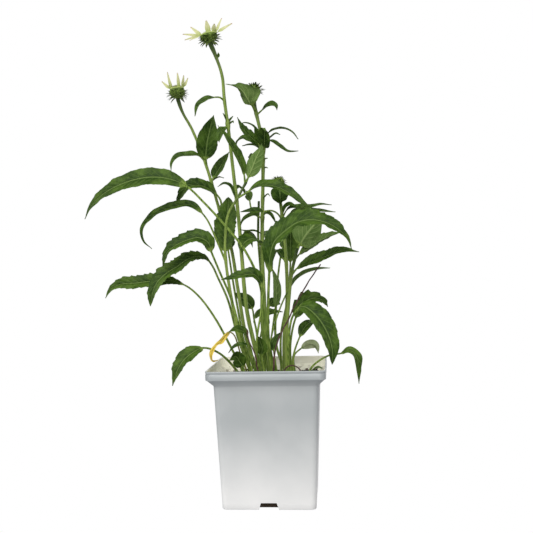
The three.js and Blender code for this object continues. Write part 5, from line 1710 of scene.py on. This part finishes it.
STALK_GREEN: Colour = (0.30, 0.42, 0.09)
# The dark green of the painted shade under a head.
PAINTED_NECK_SHADE_GREEN: Colour = (0.022, 0.050, 0.014)
# These leaves are whitish green on both sides: partly a paler underside, partly a painted sheen of the sky
# that they reflect.
PALE_AND_SHEEN_LEAVES = ("basal_leaf_11",)
FINISHES: dict[Coat, Finish] = {
    Coat.STEM: Finish((0.075, 0.145, 0.018), (0.34, 0.45, 0.105), 0.5, 1.6, 0.08, 18, 0.25),
    Coat.CUT: Finish((0.28, 0.22, 0.10), (0.42, 0.38, 0.2), 0.8, 0.8, 0.1),
    # The bracts' dark green is painted shade at their tips.
    Coat.BRACT: Finish((0.025, 0.06, 0.01), (0.60, 0.76, 0.20), 0.6, 5, 0.1, specular=0.2),
    # The head's body is its own green, taken nearly black at its dark end as painted shade in the gaps
    # between the bracts.
    Coat.BODY: Finish((0.010, 0.030, 0.004), (0.27, 0.40, 0.08), 0.6, 2.6, 0.1, specular=0.1),
    Coat.TUFT: Finish((0.30, 0.42, 0.10), (0.62, 0.70, 0.26), 0.6, 2.5, 0.0, specular=0.1),
    Coat.DISC: Finish((0.10, 0.14, 0.03), (0.38, 0.40, 0.12), 0.6, 1.2, 0.1),
    Coat.SOIL: Finish((0.008, 0.006, 0.004), (0.05, 0.034, 0.022), 0.95, 1.6, 0.5, specular=0.2),
    Coat.BARK: Finish((0.03, 0.014, 0.007), (0.17, 0.085, 0.042), 0.85, 2.2, 0.25, specular=0.3),
    Coat.PERLITE: Finish((0.55, 0.52, 0.46), (0.86, 0.84, 0.78), 0.9, 0.8, 0.12),
    Coat.DRY: Finish((0.035, 0.016, 0.02), (0.14, 0.075, 0.07), 0.8, 1.5, 0.1, 8, 0.1),
    Coat.HAIR: Finish((0.34, 0.40, 0.20), (0.5, 0.55, 0.32), 0.5, 3, 0.0, specular=0.1),
}
LEAVES: dict[Coat, Foliage] = {
    Coat.LEAF_TOP: Foliage(
        (0.013, 0.040, 0.003), (0.080, 0.150, 0.018), (0.15, 0.23, 0.06), STALK_GREEN, 0.3, 0.45),
    Coat.LEAF_UNDER: Foliage(
        (0.080, 0.148, 0.030), (0.155, 0.24, 0.066), (0.26, 0.36, 0.12), STALK_GREEN, 0.6, 0.65),
    # Pale underside and painted sheen, on both sides of a leaf.
    Coat.LEAF_PALE: Foliage(
        (0.28, 0.35, 0.18), (0.55, 0.60, 0.38), (0.5, 0.55, 0.34), STALK_GREEN, 0.4, 0.5),
    Coat.WITHERED: Foliage(
        (0.38, 0.25, 0.03), (0.80, 0.62, 0.10), (0.8, 0.66, 0.2), (0.5, 0.42, 0.12), 0.5, 0.75),
}
PETAL_GREEN: Colour = (0.36, 0.44, 0.10)
PETAL_CREAM: Colour = (0.66, 0.66, 0.36)
PETAL_TIP: Colour = (0.60, 0.42, 0.30)
PLASTIC_WHITE: Colour = (0.84, 0.84, 0.845)
# The grey of the pot's faint mottle and of its painted shade.
PLASTIC_GREY: Colour = (0.368, 0.400, 0.416)
# Cream of the dried crust inside the pot, made lighter than the outside's white as painted light for the
# light that comes through the thin wall.
PLASTIC_CREAM_AND_PAINTED_LIGHT: Colour = (0.98, 0.96, 0.82)
SOIL_STAIN: Colour = (0.16, 0.115, 0.07)
# The height up the pot's outside at which its painted shade is fully grey.
PAINTED_SHADE_FROM = 122.0

Value = Socket | float | Colour


class Graph:
    """A material whose nodes are made and joined by short calls. Lengths in it are millimetres."""

    def __init__(self, name: str) -> None:
        """Makes the material, and reads each point's place and its texture coordinates.

        Args:
            name: The material's name.
        """
        self.material = bpy.data.materials.new(name)
        self.material.use_nodes = True
        self.tree = self.material.node_tree
        self.shader = next(node for node in self.tree.nodes if node.type == "BSDF_PRINCIPLED")
        place = self.tree.nodes.new("ShaderNodeTexCoord")
        self.place = self.node("ShaderNodeVectorMath", {0: place.outputs["Object"], 1: (1 / MM,) * 3},
                               operation="MULTIPLY").outputs[0]
        self.uv = self.node("ShaderNodeSeparateXYZ", {0: place.outputs["UV"]}).outputs

    def node(self, kind: str, inputs: dict[int | str, Value], **settings: str | bool) -> bpy.types.Node:
        """Makes a node.

        Args:
            kind: Its type.
            inputs: What each input is fed with.
            settings: Its other settings, by name.

        Returns:
            The node.
        """
        made = self.tree.nodes.new(kind)
        for name, value in settings.items():
            setattr(made, name, value)
        for name, value in inputs.items():
            self.feed(made.inputs[name], value)
        return made

    def feed(self, socket: Socket, value: Value) -> None:
        """Joins a socket to an output, or writes a constant on it.

        Args:
            socket: The socket.
            value: The output or the constant.
        """
        if isinstance(value, Socket):
            self.tree.links.new(value, socket)
        else:
            socket.default_value = (*value, 1) if socket.type == "RGBA" else value

    def math(self, operation: str, *values: Value) -> Socket:
        """The result of an operation on numbers."""
        return self.node("ShaderNodeMath", dict(enumerate(values)), operation=operation).outputs[0]

    def times(self, value: Value, other: Value) -> Socket:
        """The product of two numbers."""
        return self.math("MULTIPLY", value, other)

    def plus(self, value: Value, other: Value) -> Socket:
        """The sum of two numbers."""
        return self.math("ADD", value, other)

    def edgeward(self) -> Socket:
        """Zero along the middle and one at both edges, from the first texture coordinate."""
        return self.times(self.math("ABSOLUTE", self.math("SUBTRACT", self.uv[0], 0.5)), 2)

    def step(self, value: Value, low: float, high: float) -> Socket:
        """Zero at low, one at high, and smooth between."""
        inputs = {"Value": value, "From Min": low, "From Max": high}
        return self.node("ShaderNodeMapRange", inputs, interpolation_type="SMOOTHSTEP").outputs[0]

    def mix(self, share: Value, start: Value, end: Value) -> Socket:
        """The colour that lies a share of the way from start to end."""
        return self.node("ShaderNodeMix", {0: share, 6: start, 7: end}, data_type="RGBA").outputs[2]

    def noise(self, size: float, detail: float = 3, streaks: float = 1) -> Socket:
        """A noise with patches of a size.

        Args:
            size: The patches' size.
            detail: How many finer noises lie on it.
            streaks: How many times longer the patches are along Z.

        Returns:
            The noise, from 0 to 1.
        """
        scale = (1 / size, 1 / size, 1 / size / streaks)
        place = self.node("ShaderNodeVectorMath", {0: self.place, 1: scale}, operation="MULTIPLY").outputs[0]
        return self.node("ShaderNodeTexNoise", {"Vector": place, "Scale": 1, "Detail": detail}).outputs[0]

    def read(self, name: str) -> Socket:
        """An attribute of the mesh."""
        return self.node("ShaderNodeAttribute", {}, attribute_name=name).outputs["Fac"]

    def finish(self, colour: Value, roughness: Value, height: Value, depth: float,
               specular: float = 0.5) -> Material:
        """Feeds the shader.

        Args:
            colour: The base colour.
            roughness: How rough it is.
            height: The height that the bump reads.
            depth: How deep the bump is.
            specular: How strongly it reflects.

        Returns:
            The material.
        """
        self.feed(self.shader.inputs["Base Color"], colour)
        self.feed(self.shader.inputs["Roughness"], roughness)
        self.feed(self.shader.inputs["Specular IOR Level"], specular)
        if depth:
            inputs = {"Strength": 1.0, "Distance": depth * MM, "Height": height}
            self.feed(self.shader.inputs["Normal"], self.node("ShaderNodeBump", inputs).outputs[0])
        return self.material


def plain_material(coat: Coat, finish: Finish) -> Material:
    """Two colours mixed by a noise and by each piece's own tone, and a stem's neck darkened under its head
    as painted shade.

    Args:
        coat: The coat that it makes.
        finish: The coat's values.

    Returns:
        The material.
    """
    graph = Graph(coat.name.lower())
    noise = graph.noise(finish.grain, 4, finish.streaks)
    share = graph.plus(graph.times(graph.step(noise, 0.3, 0.7), 1 - finish.own),
                       graph.times(graph.read("tone"), finish.own))
    colour = graph.mix(share, finish.dark, finish.light)
    if coat is Coat.STEM:
        # Painted shade darkens the neck under a head.
        colour = graph.mix(graph.times(graph.read("opened"), 0.85), colour, PAINTED_NECK_SHADE_GREEN)
    relief_noise = graph.noise(finish.grain / 3, 4, finish.streaks)
    return graph.finish(colour, finish.roughness, relief_noise, finish.bump, finish.specular)


def leaf_material(coat: Coat, look: Foliage) -> Material:
    """A leaf's side: patchy green, darker beside the midrib as painted shade in its fold, paler veins and
    midrib, and a stalk's colour where it closes.

    The first texture coordinate runs from edge to edge, and the second counts the side veins.

    Args:
        coat: The coat that it makes.
        look: The side's colours.

    Returns:
        The material.
    """
    graph = Graph(coat.name.lower())
    opened = graph.read("opened")
    patch = graph.plus(graph.times(graph.step(graph.noise(17, 2), 0.4, 0.6), 0.5),
                       graph.times(graph.step(graph.noise(4.5, 2), 0.3, 0.7), 0.25))
    across = graph.edgeward()
    patch = graph.plus(patch, graph.times(graph.read("tone"), 0.25))
    # Painted shade: the green darkens toward the midrib, where the folded blade lies in shade, and lightens
    # a little toward the edges.
    patch = graph.times(patch, graph.plus(0.35, graph.times(graph.step(across, 0.0, 0.5), 0.75)))
    green = graph.mix(patch, look.dark, look.light)
    off_vein = graph.math("PINGPONG", graph.uv[1], 0.5)
    side = graph.times(graph.step(off_vein, 0.13, 0.02), look.contrast)
    side = graph.times(side, graph.step(across, 1.05, 0.4))
    vein = graph.math("MAXIMUM", side, graph.times(graph.step(across, 0.11, 0.03), 0.85))
    green = graph.mix(vein, green, look.vein)
    streak = graph.step(graph.noise(1.6, 2, 18), 0.3, 0.7)
    stalk = graph.mix(streak, FINISHES[Coat.STEM].dark, look.stalk)
    colour = graph.mix(graph.step(opened, 0.05, 0.5), stalk, green)
    height = graph.math("SUBTRACT", graph.noise(4, 2), graph.times(vein, 0.5))
    return graph.finish(colour, look.roughness, height, 0.9, 0.12)


def petal_material() -> Material:
    """A ray petal: green at its foot, cream along it with faint lines, and tinted at its tip.

    Returns:
        The material.
    """
    graph = Graph("petal")
    share = graph.read("opened")
    lines = graph.math("SINE", graph.times(graph.uv[0], 44))
    cream = graph.mix(graph.step(share, 0.0, 0.65), PETAL_GREEN, PETAL_CREAM)
    cream = graph.mix(graph.times(graph.step(lines, 0.2, 1), 0.25), cream, PETAL_GREEN)
    tip = graph.step(graph.plus(share, graph.times(graph.noise(2, 2), 0.12)), 0.93, 1.06)
    return graph.finish(graph.mix(tip, cream, PETAL_TIP), 0.5, lines, 0.03)


def bract_material(finish: Finish) -> Material:
    """A bract: light green at its foot and along its middle, in patches, and darker toward its edges and its
    tip, where the dark is painted shade.

    Args:
        finish: The bracts' values.

    Returns:
        The material.
    """
    graph = Graph("bract")
    share, across = graph.read("opened"), graph.edgeward()
    # Painted shade: away from the foot and the middle the bract goes to its dark colour, darkest at its tip.
    pale = graph.times(graph.step(share, 0.95, 0.25), graph.step(across, 1.1, 0.3))
    patch = graph.plus(graph.times(graph.step(graph.noise(4, 2), 0.42, 0.6), 0.85),
                       graph.times(graph.read("tone"), 0.15))
    colour = graph.mix(graph.times(pale, patch), finish.dark, finish.light)
    return graph.finish(colour, finish.roughness, graph.noise(0.8, 3), finish.bump, finish.specular)


def plastic_material() -> Material:
    """The pot's plastic: greyish white outside with a faint grey mottle, greyed upward from its foot and
    again on its shoulder and band as painted shade, and cream with dried soil on it inside, lightened as
    painted light for the light that comes through the thin wall.

    Returns:
        The material.
    """
    graph = Graph("pot_plastic")
    height = graph.node("ShaderNodeSeparateXYZ", {0: graph.place}).outputs[2]
    inner = graph.step(graph.read("opened"), 0.4, 0.9)
    mottle = graph.times(graph.step(graph.noise(60, 3), 0.3, 0.7), 0.12)
    # Painted shade: the outside greys upward from the foot, and more on the shoulder and band under the lip,
    # over a faint real mottle.
    mottle_and_painted_shade = graph.plus(mottle, graph.times(graph.step(height, 0, PAINTED_SHADE_FROM), 0.76))
    mottle_and_painted_shade = graph.plus(mottle_and_painted_shade, graph.times(graph.step(height, BODY_TOP, POT_HEIGHT - 11), 0.16))
    # Inside, cream with painted light for the light through the thin wall.
    colour = graph.mix(inner, graph.mix(mottle_and_painted_shade, PLASTIC_WHITE, PLASTIC_GREY), PLASTIC_CREAM_AND_PAINTED_LIGHT)
    stain = graph.times(graph.step(graph.noise(7, 6), 0.5, 0.66),
                        graph.step(height, SOIL_TOP + 12, SOIL_TOP - 1))
    colour = graph.mix(graph.times(stain, inner), colour, SOIL_STAIN)
    return graph.finish(colour, 0.42, graph.noise(1.2, 3), 0.02)


def all_materials() -> dict[Coat, Material]:
    """Makes the materials.

    Returns:
        The material of each coat.
    """
    coats = {coat: plain_material(coat, finish) for coat, finish in FINISHES.items()}
    coats |= {coat: leaf_material(coat, look) for coat, look in LEAVES.items()}
    coats[Coat.BRACT] = bract_material(FINISHES[Coat.BRACT])
    return coats | {Coat.PETAL: petal_material(), Coat.PLASTIC: plastic_material()}


@dataclass
class Plant:
    """Everything that grows in the pot.

    Attributes:
        coats: The material of each coat.
    """

    coats: dict[Coat, Material]

    def stems(self) -> None:
        """The stems with their leaves."""
        for number, (name, stalk) in enumerate(STEMS.items()):
            end = Coat.CUT if name == "cut_stalk" else None
            seed = STEM_SEEDS * number
            parts = [stalk.surface(seed, end=end), stalk.hair(seed + 1)]
            for step, leaf in enumerate(stalk.leaves, 2):
                parts.append(leaf.surface(stalk.path.at_height(leaf.start), seed + step))
            self.add(f"{name}_grown", Surface.joined(parts), "stem", name)

    def leaves(self) -> None:
        """The leaves that rise from the soil on their own stalks."""
        for number, leaf in enumerate(BASAL_LEAVES):
            name = f"basal_leaf_{number + 1:02d}"
            sides = (Coat.LEAF_PALE,) * 2 if name in PALE_AND_SHEEN_LEAVES else ()
            self.add(f"{name}_grown", leaf.surface(None, LEAF_SEEDS + number, *sides), "leaf", name)
        for number, (name, leaf) in enumerate(WITHERED_LEAVES.items()):
            skin = leaf.surface(None, WITHERED_SEEDS + number, Coat.WITHERED, Coat.WITHERED)
            self.add(f"{name}_grown", skin, "withered", name)

    def dry_stalks(self) -> None:
        """The dead stalks and the loop of root."""
        for number, (name, stalk) in enumerate(DRY_STALKS.items()):
            skin = stalk.surface(DRY_SEEDS + number, Coat.DRY, 10, 0.1, 0.3)
            self.add(f"{name}_grown", skin, "dry_stalk", name)

    def heads(self) -> None:
        """The heads of bracts, and the petals and discs of the two that are open."""
        for number, (name, head) in enumerate(HEADS.items()):
            skin = head.surface(HEAD_SEEDS + number).turned(head.turn(), head.place())
            self.add(f"{name}_grown", skin, "bract", name)
        for number, (name, bloom) in enumerate(BLOOMS.items()):
            head = HEADS[bloom.head]
            petals = bloom.petal_surface(PETAL_SEEDS + number).turned(head.turn(), head.place())
            disc = bloom.disc_surface(DISC_SEEDS + number).turned(head.turn(), head.place())
            self.add(f"petals_{name}_grown", petals, "petal", f"petals_{name}")
            self.add(f"disc_{name}_grown", disc, "disc", f"disc_{name}")

    def add(self, name: str, surface: Surface, slot: str, node: str) -> None:
        """Makes one piece of the plant, which stands for a node."""
        finish_object(make_object(name, surface, self.coats), slot, (node,))


@dataclass(frozen=True)
class Lamp:
    """A far lamp with parallel light: the way from it, how wide it looks, its strength and colour."""

    toward: Point
    width: float
    strength: float
    colour: Colour = (1.0, 1.0, 1.0)


@dataclass
class Studio:
    """White surroundings, soft lamps, and the camera in front.

    Attributes:
        sky: How strongly the surroundings light the plant.
        lamps: The lamps.
        eye: Where the camera stands, in millimetres.
        yaw: How far it is turned to the right, in degrees.
        pitch: How far it looks down.
        roll: How far it is turned about its own axis.
        lens: Its focal length on a 36 mm sensor.
    """

    sky: float = 0.21
    lamps: tuple[Lamp, ...] = (
        Lamp((0.15, 0.85, -0.76), 50, 2.5, (1.0, 0.985, 0.95)),
        Lamp((0.95, 0.1, -0.4), 40, 1.0),
        Lamp((-0.9, 0.1, -0.5), 50, 0.8),
        Lamp((0.1, 0.5, 0.8), 90, 0.9),
        Lamp((-0.2, -1.0, -0.12), 70, 0.8),
    )
    eye: Point = (87.2, -1039.3, 316.0)
    yaw: float = -4.84
    pitch: float = 0.45
    roll: float = -1.38
    lens: float = 52.6

    def build(self) -> None:
        """Makes the surroundings, the lamps and the camera."""
        self.surroundings()
        for number, lamp in enumerate(self.lamps):
            self.light(f"lamp_{number}", lamp)
        self.camera()

    def surroundings(self) -> None:
        """White surroundings that shine less on the plant than they look."""
        world = bpy.data.worlds.new("surroundings")
        world.use_nodes = True
        tree = world.node_tree
        back = next(node for node in tree.nodes if node.type == "BACKGROUND")
        back.inputs["Color"].default_value = (1, 1, 1, 1)
        seen = tree.nodes.new("ShaderNodeLightPath").outputs["Is Camera Ray"]
        strength = tree.nodes.new("ShaderNodeMapRange")
        strength.inputs["To Min"].default_value = self.sky
        tree.links.new(seen, strength.inputs["Value"])
        tree.links.new(strength.outputs[0], back.inputs["Strength"])
        bpy.context.scene.world = world

    def light(self, name: str, lamp: Lamp) -> None:
        """A lamp as far as the sun, and much wider.

        Args:
            name: Its name.
            lamp: Its values.
        """
        data = bpy.data.lights.new(name, "SUN")
        data.energy, data.angle, data.color = lamp.strength, math.radians(lamp.width), lamp.colour
        made = bpy.data.objects.new(name, data)
        back = -unit(np.array(lamp.toward))
        side = unit(np.cross(UPRIGHT + (0, 0.1, 0), back))
        made.matrix_world = matrix_of(side, np.cross(back, side), back, back * 3)
        bpy.context.scene.collection.objects.link(made)

    def camera(self) -> None:
        """The camera, turned right, then down, then about its own axis."""
        yaw, pitch, roll = (math.radians(angle) for angle in (self.yaw, self.pitch, self.roll))
        right = np.array([math.cos(yaw), -math.sin(yaw), 0])
        level = np.array([math.sin(yaw), math.cos(yaw), 0])
        forward = level * math.cos(pitch) - UPRIGHT * math.sin(pitch)
        upward = UPRIGHT * math.cos(pitch) + level * math.sin(pitch)
        side = right * math.cos(roll) + upward * math.sin(roll)
        upward = upward * math.cos(roll) - right * math.sin(roll)
        data = bpy.data.cameras.new("camera")
        data.lens, data.sensor_width = self.lens, 36.0
        made = bpy.data.objects.new("camera", data)
        made.matrix_world = matrix_of(side, upward, -forward, np.array(self.eye) * MM)
        bpy.context.scene.collection.objects.link(made)
        bpy.context.scene.camera = made


def matrix_of(right: Array, upward: Array, back: Array, place: Array) -> Matrix:
    """A placing matrix from its three axes and its place."""
    rows = np.vstack([np.column_stack([right, upward, back, place]), [0, 0, 0, 1]])
    return Matrix(rows.tolist())


def main() -> None:
    """Builds the potted plant and its studio."""
    logging.basicConfig(level=logging.INFO)
    coats = all_materials()
    NurseryPot().build(coats)
    PottingSoil().build(coats)
    plant = Plant(coats)
    plant.stems()
    plant.leaves()
    plant.dry_stalks()
    plant.heads()
    Studio().build()
    bpy.context.scene.view_settings.view_transform = "Standard"


if __name__ == "__main__":
    main()
